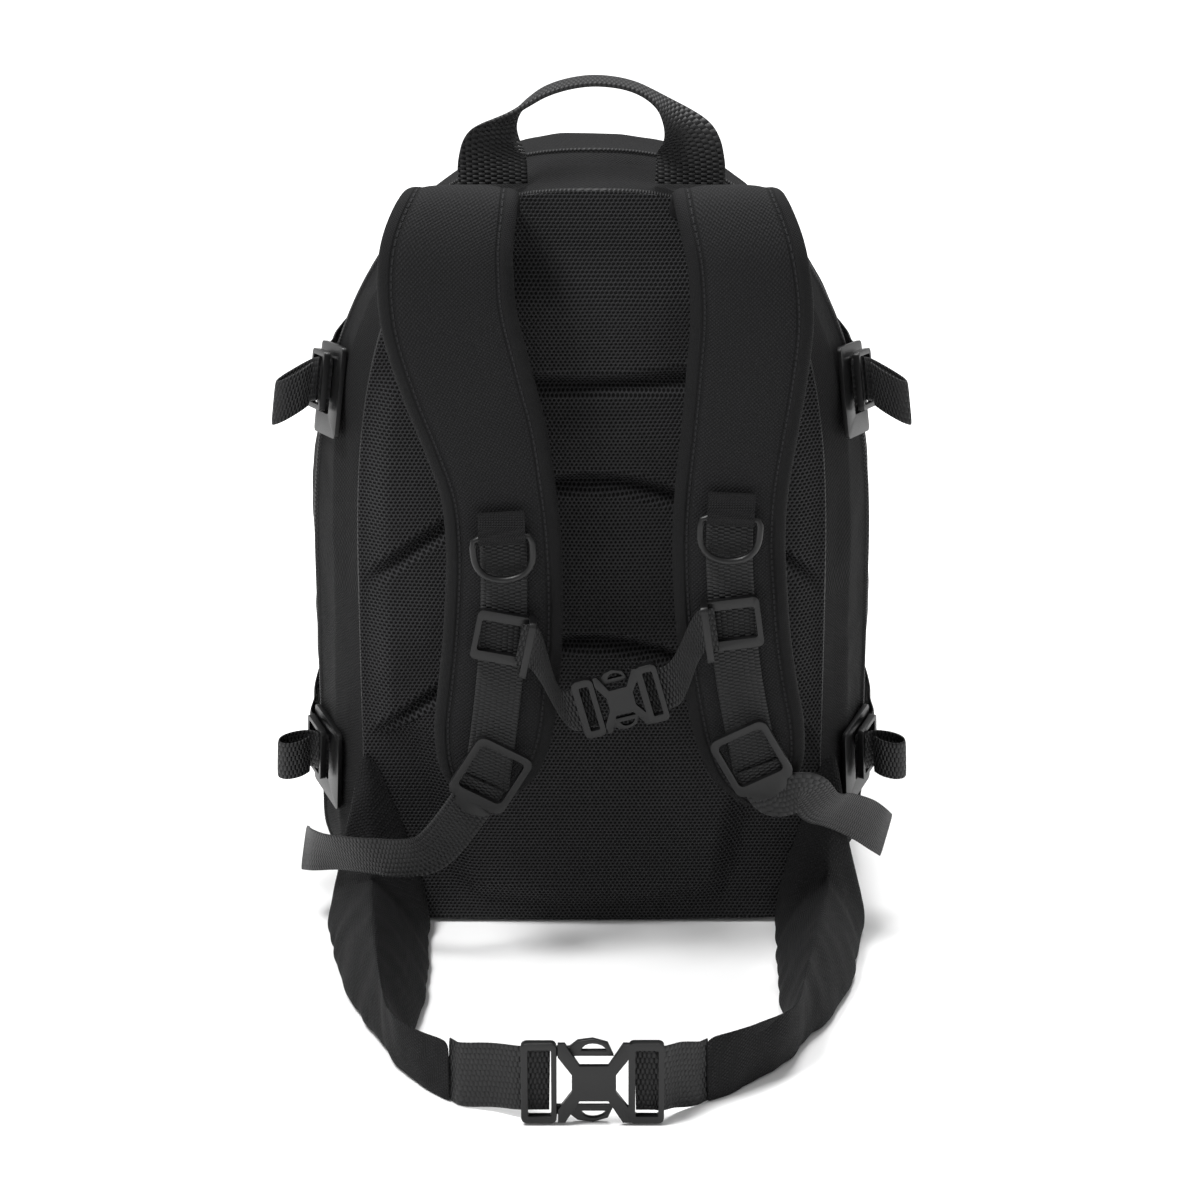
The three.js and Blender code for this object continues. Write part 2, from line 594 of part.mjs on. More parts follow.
/** A frame on the bag's skin, clear of it over a rectangle of the given depth and height. */
function skinFrame(sign, share, height, long, high, rise) {
  const turn = sign * turnAt(share, height);
  const nudge = long / 2 / depthAt(height);
  const at = (dt, ds) => bagPoint(turn + dt, share + ds);
  const up = turnAt(share, height + high / 2);
  const down = turnAt(share, height - high / 2);
  const along = at(0, nudge).sub(at(0, -nudge)).normalize();
  const rising = bagPoint(sign * up, share).sub(bagPoint(sign * down, share)).normalize();
  const out = along.clone().cross(rising).normalize();
  if (out.x * sign < 0) out.negate();
  const origin = at(0, 0);
  let lift = 0;
  for (const s of [-1, -0.5, 0, 0.5, 1]) {
    for (const h of [-0.5, -0.25, 0, 0.25, 0.5]) {
      const z = height + h * high;
      const p = bagPoint(sign * turnAt(share + s * nudge, z), share + s * nudge);
      lift = Math.max(lift, p.sub(origin).dot(out));
    }
  }
  return frameAt(origin.addScaledVector(out, lift + rise), along, out);
}

for (const [sign, name] of [[-1, 'left'], [1, 'right']]) {
  const frame = skinFrame(sign, ZIP_SHARE, BODY_HEIGHT * 0.9, ZIP_WIDTH * 1.5, PULL_LENGTH,
    ZIP_RISE + TOUCH_GAP);
  const tab = box(-3.5, -PULL_LENGTH / 2, 3.5, PULL_LENGTH / 2, 2);
  tab.holes.push(hole(-1.6, PULL_LENGTH / 2 - 6, 1.6, PULL_LENGTH / 2 - 2.5, 1.2));
  add(`zip_pull_${name}`, slab(tab, 0, 2), PLASTIC, frame);
}

// Shoulder straps.

const SIDES = [
  { name: 'left', sign: -1, strap: numbered(STRAP_LEFT), wing: numbered(WING_LEFT) },
  { name: 'right', sign: 1, strap: numbered(STRAP_RIGHT), wing: numbered(WING_RIGHT) },
];

/** The middle line, width and across direction of a shoulder strap at a run from 0 to 1. */
function strapAt(rows, run) {
  const middle = (t) => {
    const read = (key) => column(rows, 'run', key, t);
    return new THREE.Vector3(read('aside') * HARNESS_WIDTH / 2, BACK - read('off') * STRAP_REACH,
      HARNESS_HEIGHT - read('down') * STRAP_DROP);
  };
  const at = middle(run);
  const along = middle(Math.min(run + 0.004, 1)).sub(middle(Math.max(run - 0.004, 0))).normalize();
  const across = new THREE.Vector3(1, 0, 0).addScaledVector(along, -along.x).normalize();
  const out = along.clone().cross(across).negate().normalize();
  if (out.y > 0 && run > 0.2) out.negate();
  return { at, along, across, out, width: column(rows, 'run', 'width', run) * STRAP_WIDTH };
}

/** The run of a strap at a height, below its shoulder. */
function runAt(rows, z) {
  let low = 0.2;
  let high = 1;
  for (let i = 0; i < 30; i += 1) {
    const middle = (low + high) / 2;
    if (strapAt(rows, middle).at.z > z) low = middle;
    else high = middle;
  }
  return (low + high) / 2;
}

/** A frame on the face of a strap: x across, y up along the strap, z out of it. */
function strapFrame(rows, z, lateral, rise, tilt = 0) {
  const spot = strapAt(rows, runAt(rows, z));
  const up = spot.along.clone().negate();
  const out = spot.across.clone().cross(up).normalize();
  const origin = spot.at.clone().addScaledVector(spot.across, lateral)
    .addScaledVector(out, STRAP_PAD * 0.53 + rise);
  const frame = frameAt(origin, spot.across, out);
  return frame.multiply(new THREE.Matrix4().makeRotationZ(THREE.MathUtils.degToRad(tilt)));
}

// Heights along the straps as shares of the harness panel's height, and tilts in degrees.
const RING_AT = { left: 0.603, right: 0.628 };
const CLIP_AT = { left: 0.468, right: 0.487 };
const CLIP_TILT = { left: -8, right: 3 };
const LOCK_AT = { left: 0.272, right: 0.296 };
const LOCK_TILT = { left: -22, right: 17 };

/** The frame of a chest clip on its strap. */
function clipFrame(name) {
  const { strap } = SIDES.find((side) => side.name === name);
  return strapFrame(strap, CLIP_AT[name] * HARNESS_HEIGHT, 0, TOUCH_GAP * 2 + WEB + 0.1,
    CLIP_TILT[name]);
}

for (const { name, strap } of SIDES) {
  const steps = 20;
  const stations = Array.from({ length: steps + 1 }, (_, i) => {
    const { at, across, width } = strapAt(strap, i / steps);
    return { at, across, width, thick: STRAP_PAD };
  });
  const root = BACK - HARNESS_RIM - TOUCH_GAP * 2.2;
  add(`strap_pad_${name}`, band(stations, padOutline, root), CLOTH);

  const rise = STRAP_PAD * 0.53 + TOUCH_GAP + WEB / 2;
  const top = (RING_AT[name] + 0.02) * HARNESS_HEIGHT;
  const end = (LOCK_AT[name] - 0.02) * HARNESS_HEIGHT;
  const web = Array.from({ length: 11 }, (_, i) => {
    const run = runAt(strap, top + (end - top) * i / 10);
    const { at, along, across } = strapAt(strap, run);
    const out = across.clone().cross(along.clone().negate()).normalize();
    return { at: at.clone().addScaledVector(out, rise), across, width: WEB_WIDTH, thick: WEB };
  });
  add(`strap_webbing_${name}`, band(web), WEBBING);

  // A stitched loop holds the straight bar of the ring.
  const onWeb = TOUCH_GAP * 2 + WEB;
  const frame = strapFrame(strap, RING_AT[name] * HARNESS_HEIGHT, 0, onWeb);
  const bore = RING_BAR / 2 + TOUCH_GAP;
  const cloth = 1.5;
  const loop = new THREE.Shape();
  loop.moveTo(bore * 2 + 8, 0);
  loop.lineTo(bore * 2 + 8, cloth * 1.6);
  loop.lineTo(bore + 2, cloth * 1.8);
  loop.absarc(0, bore + cloth, bore + cloth, Math.PI * 0.42, Math.PI * 1.5, false);
  loop.holes.push(new THREE.Path().absarc(0, bore + cloth, bore, 0, Math.PI * 2, true));
  const tab = slab(loop, -WEB_WIDTH / 2, WEB_WIDTH, 8);
  // The loop's outline lies in the plane that holds the strap's length and its outward side.
  tab.applyMatrix4(new THREE.Matrix4().makeBasis(new THREE.Vector3(0, 1, 0),
    new THREE.Vector3(0, 0, 1), new THREE.Vector3(1, 0, 0)));
  add(`ring_tab_${name}`, tab, WEBBING, frame);

  const bar = frame.clone().multiply(new THREE.Matrix4().makeTranslation(0, 0, bore + cloth));
  const half = RING_WIDTH / 2 - RING_BAR / 2;
  const path = new THREE.CurvePath();
  const corner = 4;
  const line = (a, b) => new THREE.LineCurve3(new THREE.Vector3(...a), new THREE.Vector3(...b));
  const bend = (a, b, c) => new THREE.QuadraticBezierCurve3(...[a, b, c]
    .map((p) => new THREE.Vector3(...p)));
  const drop = RING_DROP - RING_BAR;
  path.add(line([-half + corner, 0, 0], [half - corner, 0, 0]));
  path.add(bend([half - corner, 0, 0], [half, 0, 0], [half, -corner, 0]));
  path.add(line([half, -corner, 0], [half, -drop * 0.4, 0]));
  path.add(bend([half, -drop * 0.4, 0], [half * 0.96, -drop * 0.98, 0], [0, -drop, 0]));
  path.add(bend([0, -drop, 0], [-half * 0.96, -drop * 0.98, 0], [-half, -drop * 0.4, 0]));
  path.add(line([-half, -drop * 0.4, 0], [-half, -corner, 0]));
  path.add(bend([-half, -corner, 0], [-half, 0, 0], [-half + corner, 0, 0]));
  const around = path.getSpacedPoints(26).slice(0, -1);
  const out = new THREE.Vector3(0, 0, 1);
  const outlines = around.map((p, i) => {
    const ahead = around[(i + 1) % around.length];
    const behind = around[(i + around.length - 1) % around.length];
    const side = ahead.clone().sub(behind).normalize().cross(out);
    return Array.from({ length: 6 }, (_, k) => {
      const angle = (k + 0.5) * Math.PI / 3;
      return p.clone().addScaledVector(side, Math.cos(angle) * RING_BAR / 2)
        .addScaledVector(out, Math.sin(angle) * RING_BAR / 2);
    });
  });
  add(`d_ring_${name}`, loft(outlines, true), PLASTIC, bar);

  // A frame slides on the strap's webbing and holds the chest strap in a loop on its inner side.
  const inward = name === 'left' ? 1 : -1;
  const plate = box(-CLIP_WIDTH / 2, -CLIP_HEIGHT / 2, CLIP_WIDTH / 2, CLIP_HEIGHT / 2, 3);
  plate.holes.push(hole(-CLIP_WIDTH / 2 + BAR * 0.8, -CLIP_HEIGHT / 2 + BAR * 1.5,
    CLIP_WIDTH / 2 - BAR * 0.8, CLIP_HEIGHT / 2 - BAR * 1.5, 1.5));
  const loopHigh = WEB_WIDTH / 2 + EYE_SLACK + BAR * 0.8;
  const eye = box(0, -loopHigh, EYE_DEPTH, loopHigh, 2.5);
  eye.holes.push(hole(BAR * 0.8, -loopHigh + BAR * 0.8, EYE_DEPTH - BAR * 0.8,
    loopHigh - BAR * 0.8, 0.8));
  const eyeSolid = slab(eye, -BAR / 2, BAR).rotateY(-Math.PI / 2);
  eyeSolid.translate(inward * (CLIP_WIDTH / 2 - BAR * 0.5), 0, 0);
  const clip = join(slab(plate, 0, BAR), eyeSolid);
  add(`chest_clip_${name}`, clip, PLASTIC, clipFrame(name));

  // The lock at the end of the strap: side rails, a top bar and a thumb tab.
  const lock = box(-LOCK_WIDTH / 2, -LOCK_HEIGHT / 2 + 7, LOCK_WIDTH / 2, LOCK_HEIGHT / 2, 5);
  const half2 = WEB_WIDTH / 2 + 0.8;
  lock.holes.push(hole(-half2, -LOCK_HEIGHT / 2 + 13, half2, LOCK_HEIGHT / 2 - 4, 3));
  const thumb = new THREE.Shape();
  thumb.moveTo(-LOCK_WIDTH / 2 + 3, -LOCK_HEIGHT / 2 + 10);
  thumb.quadraticCurveTo(-LOCK_WIDTH * 0.32, -LOCK_HEIGHT / 2, 0, -LOCK_HEIGHT / 2);
  thumb.quadraticCurveTo(LOCK_WIDTH * 0.32, -LOCK_HEIGHT / 2, LOCK_WIDTH / 2 - 3,
    -LOCK_HEIGHT / 2 + 10);
  thumb.closePath();
  const lockFrame = strapFrame(strap, LOCK_AT[name] * HARNESS_HEIGHT, 0, onWeb + WEB + TOUCH_GAP * 2,
    LOCK_TILT[name]);
  add(`ladder_lock_${name}`, join(slab(lock, 0, BAR), slab(thumb, 0.6, BAR - 0.6)), PLASTIC,
    lockFrame);
}


// Chest strap.

/** Webbing from one frame to another, level with the strap's width upright. */
const UP = new THREE.Vector3(0, 0, 1);
const FORWARD = new THREE.Vector3(0, -1, 0);
const LEVEL = new THREE.Vector3(0, 1, 0);

/** A two-part buckle: a frame with prongs that carry two springy pads, and a crossed socket. */
function buckle(length, slot) {
  const high = slot + BAR * 2.6;
  const [x, y] = [length / 2, high / 2];
  const frameWide = length * 0.25;
  const ringBack = -BAR * 0.25;
  const ringShape = (x0, x1) => {
    const shape = box(x0, -y, x1, y, 3);
    shape.holes.push(hole(x0 + BAR, -slot / 2 - 0.7, x1 - BAR * 0.8, slot / 2 + 0.7, 1));
    return shape;
  };
  const arc = (sign) => {
    const shape = new THREE.Shape();
    const [inner, outer] = [y * 0.62, y * 1.04];
    shape.moveTo(-x + frameWide - 1, sign * inner);
    shape.lineTo(x * 0.30, sign * inner);
    shape.quadraticCurveTo(x * 0.28, sign * outer, 0, sign * outer);
    shape.quadraticCurveTo(-x * 0.26, sign * outer, -x * 0.32, sign * y * 0.84);
    shape.lineTo(-x + frameWide - 1, sign * y * 0.84);
    shape.closePath();
    const eye = new THREE.Path();
    eye.moveTo(-x * 0.16, sign * y * 0.76);
    eye.lineTo(x * 0.20, sign * y * 0.76);
    eye.quadraticCurveTo(x * 0.14, sign * y * 0.93, 0, sign * y * 0.93);
    eye.quadraticCurveTo(-x * 0.12, sign * y * 0.93, -x * 0.16, sign * y * 0.76);
    const rim = eye.getPoints(4);
    shape.holes.push(new THREE.Path(sign > 0 ? rim : rim.reverse()));
    return slab(shape, -BAR * 0.6, BAR * 0.75);
  };
  const plug = join(slab(ringShape(-x, -x + frameWide), ringBack, BAR - ringBack), arc(1), arc(-1));
  const cross = new THREE.Shape();
  const [near, far] = [-x + frameWide + TOUCH_GAP * 2, x - frameWide + 1];
  const waist = y * 0.44;
  cross.moveTo(near, y * 0.98);
  cross.lineTo(near + length * 0.05, y * 0.98);
  cross.lineTo(-length * 0.09, waist);
  cross.lineTo(length * 0.11, waist);
  cross.lineTo(far - length * 0.05, y * 0.98);
  cross.lineTo(far, y * 0.98);
  cross.lineTo(far, y * 0.66);
  cross.lineTo(length * 0.165, waist * 0.5);
  cross.lineTo(length * 0.165, -waist * 0.5);
  cross.lineTo(far, -y * 0.66);
  cross.lineTo(far, -y * 0.98);
  cross.lineTo(far - length * 0.05, -y * 0.98);
  cross.lineTo(length * 0.11, -waist);
  cross.lineTo(-length * 0.09, -waist);
  cross.lineTo(near + length * 0.05, -y * 0.98);
  cross.lineTo(near, -y * 0.98);
  cross.lineTo(near, -y * 0.66);
  cross.lineTo(-length * 0.145, -waist * 0.5);
  cross.lineTo(-length * 0.145, waist * 0.5);
  cross.lineTo(near, y * 0.66);
  cross.closePath();
  const front = BAR * 0.15 + TOUCH_GAP;
  const socket = join(slab(ringShape(x - frameWide, x), ringBack, BAR - ringBack),
    slab(cross, front, BAR - front));
  return { plug, socket, slotMiddle: x - frameWide / 2 + BAR * 0.1,
    webPlane: ringBack - TOUCH_GAP - WEB / 2 };
}

// The fastened chest strap sags to its buckle, which stands a little askew.
const CHEST_DIP = 0.388;       // height of the buckle, share of the harness panel's height
const CHEST_ASIDE = 0.122;     // the buckle's place aside, share of half the harness panel
const CHEST_OUT = 1.30;        // how far off the bag, share of the strap's reach
const CHEST_TILT = 15;
const chestMiddle = new THREE.Vector3(CHEST_ASIDE * HARNESS_WIDTH / 2,
  BACK - CHEST_OUT * STRAP_REACH, CHEST_DIP * HARNESS_HEIGHT);
const chest = buckle(CHEST_BUCKLE, WEB_WIDTH);
const chestAcross = new THREE.Vector3(1, 0, Math.tan(THREE.MathUtils.degToRad(CHEST_TILT)));
const chestFrame = frameAt(chestMiddle, chestAcross.normalize(), FORWARD);
add('chest_buckle_plug', chest.plug, PLASTIC, chestFrame);
add('chest_buckle_socket', chest.socket, PLASTIC, chestFrame);
for (const { name, sign } of SIDES) {
  const clip = clipFrame(name);
  const eye = (x, y, z) => new THREE.Vector3(-sign * (CLIP_WIDTH / 2 - BAR * 0.5 + x), y, z)
    .applyMatrix4(clip);
  const upright = new THREE.Vector3(0, 1, 0).transformDirection(clip);
  const inBuckle = (x, y, z) => new THREE.Vector3(x, y, z).applyMatrix4(chestFrame);
  const lean = new THREE.Vector3(0, 1, 0).transformDirection(chestFrame);
  const end = inBuckle(sign * (chest.slotMiddle - 2.5), 0, chest.webPlane);
  const near = inBuckle(sign * (chest.slotMiddle + BAR * 2 + 4), 0, chest.webPlane);
  const points = [eye(-5, 0, EYE_DEPTH / 2), eye(3, 0, EYE_DEPTH / 2), near, end];
  const stations = webPath(points, [upright, upright, lean, lean], WEB_WIDTH, 14);
  stations.forEach((station) => { station.skewed = true; });
  add(`chest_webbing_${name}`, band(stations), WEBBING);
}

// Carry handle: flat where it is sewn to the top seam, folded in half over the hand.
{
  const seam = ring(0).top;
  const y = BACK + 7;
  const spread = HANDLE_SPREAD / 2;
  const rows = [
    { x: -1.00, up: 0.02, wide: 1.00, turn: 0.00, thick: 1.0 },
    { x: -1.00, up: 0.22, wide: 0.98, turn: 0.00, thick: 1.0 },
    { x: -0.97, up: 0.42, wide: 0.86, turn: 0.10, thick: 1.2 },
    { x: -0.86, up: 0.60, wide: 0.56, turn: 0.45, thick: 1.8 },
    { x: -0.66, up: 0.77, wide: 0.42, turn: 0.85, thick: 2.0 },
    { x: -0.40, up: 0.91, wide: 0.41, turn: 1.00, thick: 2.0 },
    { x: -0.02, up: 0.985, wide: 0.41, turn: 1.00, thick: 2.0 },
    { x: 0.36, up: 0.95, wide: 0.41, turn: 1.00, thick: 2.0 },
    { x: 0.66, up: 0.81, wide: 0.43, turn: 0.85, thick: 2.0 },
    { x: 0.87, up: 0.60, wide: 0.60, turn: 0.40, thick: 1.8 },
    { x: 0.97, up: 0.42, wide: 0.88, turn: 0.08, thick: 1.2 },
    { x: 1.00, up: 0.22, wide: 0.98, turn: 0.00, thick: 1.0 },
    { x: 1.00, up: 0.02, wide: 1.00, turn: 0.00, thick: 1.0 },
  ];
  const handle = numbered(rows);
  const stations = Array.from({ length: 29 }, (_, i) => {
    const read = (key) => column(handle, 'run', key, i / 28);
    const at = new THREE.Vector3(read('x') * spread, y, seam + read('up') * HANDLE_RISE);
    const turn = read('turn') * Math.PI / 2;
    // The flat ends face the harness side and the fold lies level over the hand.
    const across = new THREE.Vector3(Math.cos(turn), Math.sin(turn), Math.cos(turn) * 0.05);
    return { at, across, width: read('wide') * HANDLE_WEB, thick: read('thick') * WEB };
  });
  add('carry_handle', band(stations), WEBBING);
}

// Hip belt.

/** The outline of a wing: its outer side, the seam on top, its inner side and the hollow. */
function wingOutline(row, sign) {
  const half = BODY_WIDTH / 2;
  const point = (reach, side, z) => new THREE.Vector3(sign * side * half,
    BACK - reach * BELT_REACH - HARNESS_RIM, z);
  const height = row.top * WING_HEIGHT;
  const outer = point(row.outReach, row.out, FLOOR);
  const inner = point(row.inReach, row.in, FLOOR);
  const ridge = point(row.ridgeReach, row.ridge, height);
  const base = inner.clone().sub(outer);
  const wallWide = Math.min(WING_WALL, base.length() * 0.36);
  const aside = base.clone().normalize();
  const puff = Math.min(base.length() * 0.09, 5);
  const side = (a, b, way, shares) => shares.map((t) => a.clone().lerp(b, t)
    .addScaledVector(aside, way * puff * 4 * t * (1 - t)));
  const outerFoot = outer.clone().addScaledVector(aside, wallWide);
  const innerFoot = inner.clone().addScaledVector(aside, -wallWide);
  const roof = outerFoot.clone().lerp(innerFoot, 0.45);
  roof.z = Math.max(0.6, row.hollow * height);
  return [outer, ...side(outer, ridge, -1, [0.3, 0.62, 0.88]), ridge,
    ...side(ridge, inner, 1, [0.12, 0.38, 0.7]), inner, innerFoot, roof, outerFoot];
}

const beltEnds = {};
for (const { name, sign, wing } of SIDES) {
  const steps = 20;
  const keys = ['outReach', 'out', 'inReach', 'in', 'ridgeReach', 'ridge', 'top', 'hollow'];
  const outlines = Array.from({ length: steps + 1 }, (_, i) => {
    const row = Object.fromEntries(keys.map((key) => [key, column(wing, 'run', key, i / steps)]));
    return wingOutline(row, sign);
  });
  add(`hip_wing_${name}`, loft(outlines), CLOTH);
  const end = outlines[steps];
  const before = outlines[steps - 1];
  const middle = (outline) => outline[0].clone().add(outline[8]).multiplyScalar(0.5);
  const along = middle(end).sub(middle(before)).setZ(0).normalize();
  const reach = Math.max(...end.map((p) => p.clone().sub(middle(end)).dot(along)));
  const start = middle(end).addScaledVector(along, reach + TOUCH_GAP);
  beltEnds[name] = [start, start.clone().addScaledVector(along, WEB * 3)];
}

const hip = buckle(BELT_BUCKLE, BELT_WEB);
const BUCKLE_FOOT = 0.4;       // the hip buckle's clearance above the floor
const hipMiddle = new THREE.Vector3(0.002 * BODY_WIDTH, BACK - BELT_REACH,
  FLOOR + (BELT_WEB / 2 + BAR * 1.3) * 1.04 + BUCKLE_FOOT);
const hipFrame = frameAt(hipMiddle, new THREE.Vector3(1, 0, 0), FORWARD);
add('hip_buckle_plug', hip.plug, PLASTIC, hipFrame);
add('hip_buckle_socket', hip.socket, PLASTIC, hipFrame);
for (const { name, sign } of SIDES) {
  const [start, next] = beltEnds[name];
  start.z = FLOOR + BELT_WEB / 2 + TOUCH_GAP;
  next.z = start.z;
  const end = hipMiddle.clone().add(new THREE.Vector3(sign * (hip.slotMiddle - 3.5),
    TOUCH_GAP * 1.7 - hip.webPlane, 0));
  const bar = end.clone().add(new THREE.Vector3(sign * BAR * 3, 0, 0));
  const between = next.clone().lerp(bar, 0.5);
  between.y += 1;
  add(`hip_webbing_${name}`, band(webPath([start, next, between, bar, end], UP, BELT_WEB, 16)), WEBBING);
}

// Lower webbing of the shoulder straps.
for (const [name, rows] of [['left', LOWER_LEFT], ['right', LOWER_RIGHT]]) {
  const { strap } = SIDES.find((side) => side.name === name);
  const lock = strapFrame(strap, LOCK_AT[name] * HARNESS_HEIGHT, 0, TOUCH_GAP * 2 + WEB,
    LOCK_TILT[name]);
  const inLock = (y, z) => new THREE.Vector3(0, y, z).applyMatrix4(lock);
  const across = new THREE.Vector3(1, 0, 0).transformDirection(lock);
  const inside = TOUCH_GAP + WEB / 2;
  const points = [inLock(-LOCK_HEIGHT * 0.08, inside), inLock(-LOCK_HEIGHT * 0.55, inside)];
  for (const { reach, aside, up } of rows) {
    points.push(new THREE.Vector3(aside * BODY_WIDTH / 2, BACK - reach * BELT_REACH,
      up * WING_HEIGHT));
  }
  const turned = name === 'left'
    ? [across, across, new THREE.Vector3(0.5, -0.1, -0.85), new THREE.Vector3(0.1, 0.3, -0.95),
      new THREE.Vector3(-0.25, 0.1, -0.95)]
    : [across, new THREE.Vector3(0.7, 0, 0.7), new THREE.Vector3(0.6, -0.1, 0.8),
      new THREE.Vector3(0.35, 0.2, 0.95), new THREE.Vector3(0.2, 0.3, 0.95)];
  add(`lower_webbing_${name}`, band(webPath(points, turned, WEB_WIDTH, 22)), WEBBING);
}

// Side straps.
for (const { name: side, sign } of SIDES) {
  for (const { name, height, share, buckle: place, tail, droop, root, sink } of SIDE_STRAPS) {
    const z = height * BODY_HEIGHT;
    const seat = skinFrame(sign, share, z, PLATE_DEPTH, PLATE_HEIGHT, TOUCH_GAP);
    const slot = WEB_WIDTH / 2 + 1;
    const plate = box(-PLATE_DEPTH / 2, -PLATE_HEIGHT / 2, PLATE_DEPTH / 2, PLATE_HEIGHT / 2, 3);
    plate.holes.push(hole(-PLATE_DEPTH * 0.1, -slot, PLATE_DEPTH / 2 - BAR, slot, 1.5));
    add(`${name}_plate_${side}`, slab(plate, 0, PLATE), PLASTIC, seat);

    // The frame buckle stands over the plate with the strap running forwards under it.
    const local = (x, y, out) => new THREE.Vector3(x, y * sign, out).applyMatrix4(seat);
    const high = WEB_WIDTH / 2 + BAR;
    const frame = box(-SIDE_BUCKLE / 2, -high, SIDE_BUCKLE / 2, high, 2.5);
    frame.holes.push(hole(-SIDE_BUCKLE / 2 + BAR * 0.8, -high + BAR * 0.8,
      SIDE_BUCKLE / 2 - BAR * 0.8, high - BAR * 0.8, 1));
    const rise = PLATE + TOUCH_GAP * 4 + WEB;
    const middle = PLATE_HEIGHT * place;
    const spot = seat.clone().multiply(new THREE.Matrix4().makeTranslation(
      PLATE_DEPTH * 0.08, middle * sign * 0.4, rise));
    add(`${name}_buckle_${side}`, slab(frame, 0, BAR), PLASTIC, spot);

    const up = new THREE.Vector3(0, sign, 0).transformDirection(seat);
    const offset = middle * 0.4;
    const onPlate = PLATE + TOUCH_GAP * 3 + WEB / 2;
    const stations = [-0.18, 0, 0.2, 0.42, 0.56].map((x) => ({
      at: local(PLATE_DEPTH * x, offset, onPlate), across: up, width: WEB_WIDTH, thick: WEB,
    }));
    const level = local(0, offset, 0).z;
    for (let s = share + 0.2; s < 0.95; s += 0.07) {
      const [below, here, over] = [-1, 0, 1].map((k) => bagPoint(
        sign * turnAt(s, level + k * WEB_WIDTH / 2), s));
      const across = over.clone().sub(below).normalize();
      const ahead = bagPoint(sign * turnAt(s + 0.02, level), s + 0.02);
      const out = ahead.sub(here).cross(across).normalize();
      if (out.x * sign < 0) out.negate();
      stations.push({ at: here.addScaledVector(out, WEB / 2 + ZIP_RISE + TOUCH_GAP * 2), across,
        width: WEB_WIDTH, thick: WEB });
    }
    add(`${name}_strap_${side}`, band(stations), WEBBING);

    // The spare end is folded back on itself outside the buckle.
    const reach = tail * WEB_WIDTH;
    const above = rise + BAR + TOUCH_GAP * 2.5 + WEB / 2;
    const drop = Math.tan(THREE.MathUtils.degToRad(droop));
    const loopPoints = [[root, -sink], [root - 0.3, 0.1 - sink * 0.6], [-0.15, 0.45], [-0.1, 0.85],
      [0.12, 1.0], [0.36, 0.85], [0.42, 0.45], [0.3, 0.16]].map(([x, out]) => local(
      PLATE_DEPTH * 0.08 - x * reach * 0.9, offset - out * reach * drop, above + out * reach));
    const loop = webPath(loopPoints, up, WEB_WIDTH - 1, 16);
    loop.forEach((station) => { station.skewed = true; });
    add(`${name}_tail_${side}`, band(loop), WEBBING);
  }
}

export default pack;
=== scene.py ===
"""A black daypack seen from its harness side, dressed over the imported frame."""

from __future__ import annotations

import logging
import math
from dataclasses import dataclass, field, replace
from enum import Enum
from typing import Callable, Sequence

import bmesh
import bpy
import numpy as np
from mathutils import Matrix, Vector, noise

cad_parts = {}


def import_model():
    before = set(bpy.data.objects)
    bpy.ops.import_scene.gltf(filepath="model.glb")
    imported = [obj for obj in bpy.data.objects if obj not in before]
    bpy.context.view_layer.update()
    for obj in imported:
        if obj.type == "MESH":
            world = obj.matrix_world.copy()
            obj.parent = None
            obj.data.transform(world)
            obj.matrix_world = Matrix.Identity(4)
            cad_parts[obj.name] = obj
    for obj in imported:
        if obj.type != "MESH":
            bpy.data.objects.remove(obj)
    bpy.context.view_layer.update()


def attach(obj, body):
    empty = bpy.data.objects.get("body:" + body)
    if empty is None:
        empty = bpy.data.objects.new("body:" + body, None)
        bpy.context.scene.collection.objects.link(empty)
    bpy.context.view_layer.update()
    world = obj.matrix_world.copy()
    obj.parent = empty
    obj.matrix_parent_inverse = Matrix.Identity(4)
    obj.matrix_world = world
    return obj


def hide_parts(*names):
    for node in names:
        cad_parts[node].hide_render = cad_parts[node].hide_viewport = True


LOG = logging.getLogger("daypack")
MM = 0.001
Spot = tuple[Vector, tuple[float, float], float]


# Mesh helpers


class Side(Enum):
    """The two sides of the pack as the camera sees them."""

    LEFT = -1
    RIGHT = 1

    @property
    def word(self) -> str:
        """The side's name in the names of the nodes.

        Returns:
            The name in small letters.
        """
        return self.name.lower()


@dataclass(frozen=True)
class Section:
    """One cross-section of a swept piece, in metres."""

    at: Vector
    across: Vector
    out: Vector
    width: float
    thick: float


def deselect() -> None:
    """Leaves edit mode and clears the selection."""
    if bpy.context.object and bpy.context.object.mode != "OBJECT":
        bpy.ops.object.mode_set(mode="OBJECT")
    bpy.ops.object.select_all(action="DESELECT")


def activate(piece: bpy.types.Object) -> None:
    """Selects one piece alone and makes it active.

    Args:
        piece: The piece.
    """
    deselect()
    piece.select_set(True)
    bpy.context.view_layer.objects.active = piece


def finish_modifier(piece: bpy.types.Object, kind: str, **values: float | str | bool) -> None:
    """Adds a modifier to a piece and applies it.

    Args:
        piece: The piece to change.
        kind: The modifier's type.
        **values: The modifier's settings.
    """
    activate(piece)
    modifier = piece.modifiers.new(kind.lower(), kind)
    for key, value in values.items():
        setattr(modifier, key, value)
    bpy.ops.object.modifier_apply(modifier=modifier.name)


def smooth_shade(piece: bpy.types.Object, angle: float | None = None) -> None:
    """Shades a piece smooth.

    Args:
        piece: The piece.
        angle: Edges sharper than this, in degrees, stay sharp; None smooths all of them.
    """
    activate(piece)
    if angle is None:
        bpy.ops.object.shade_smooth()
    else:
        bpy.ops.object.shade_smooth_by_angle(angle=math.radians(angle))


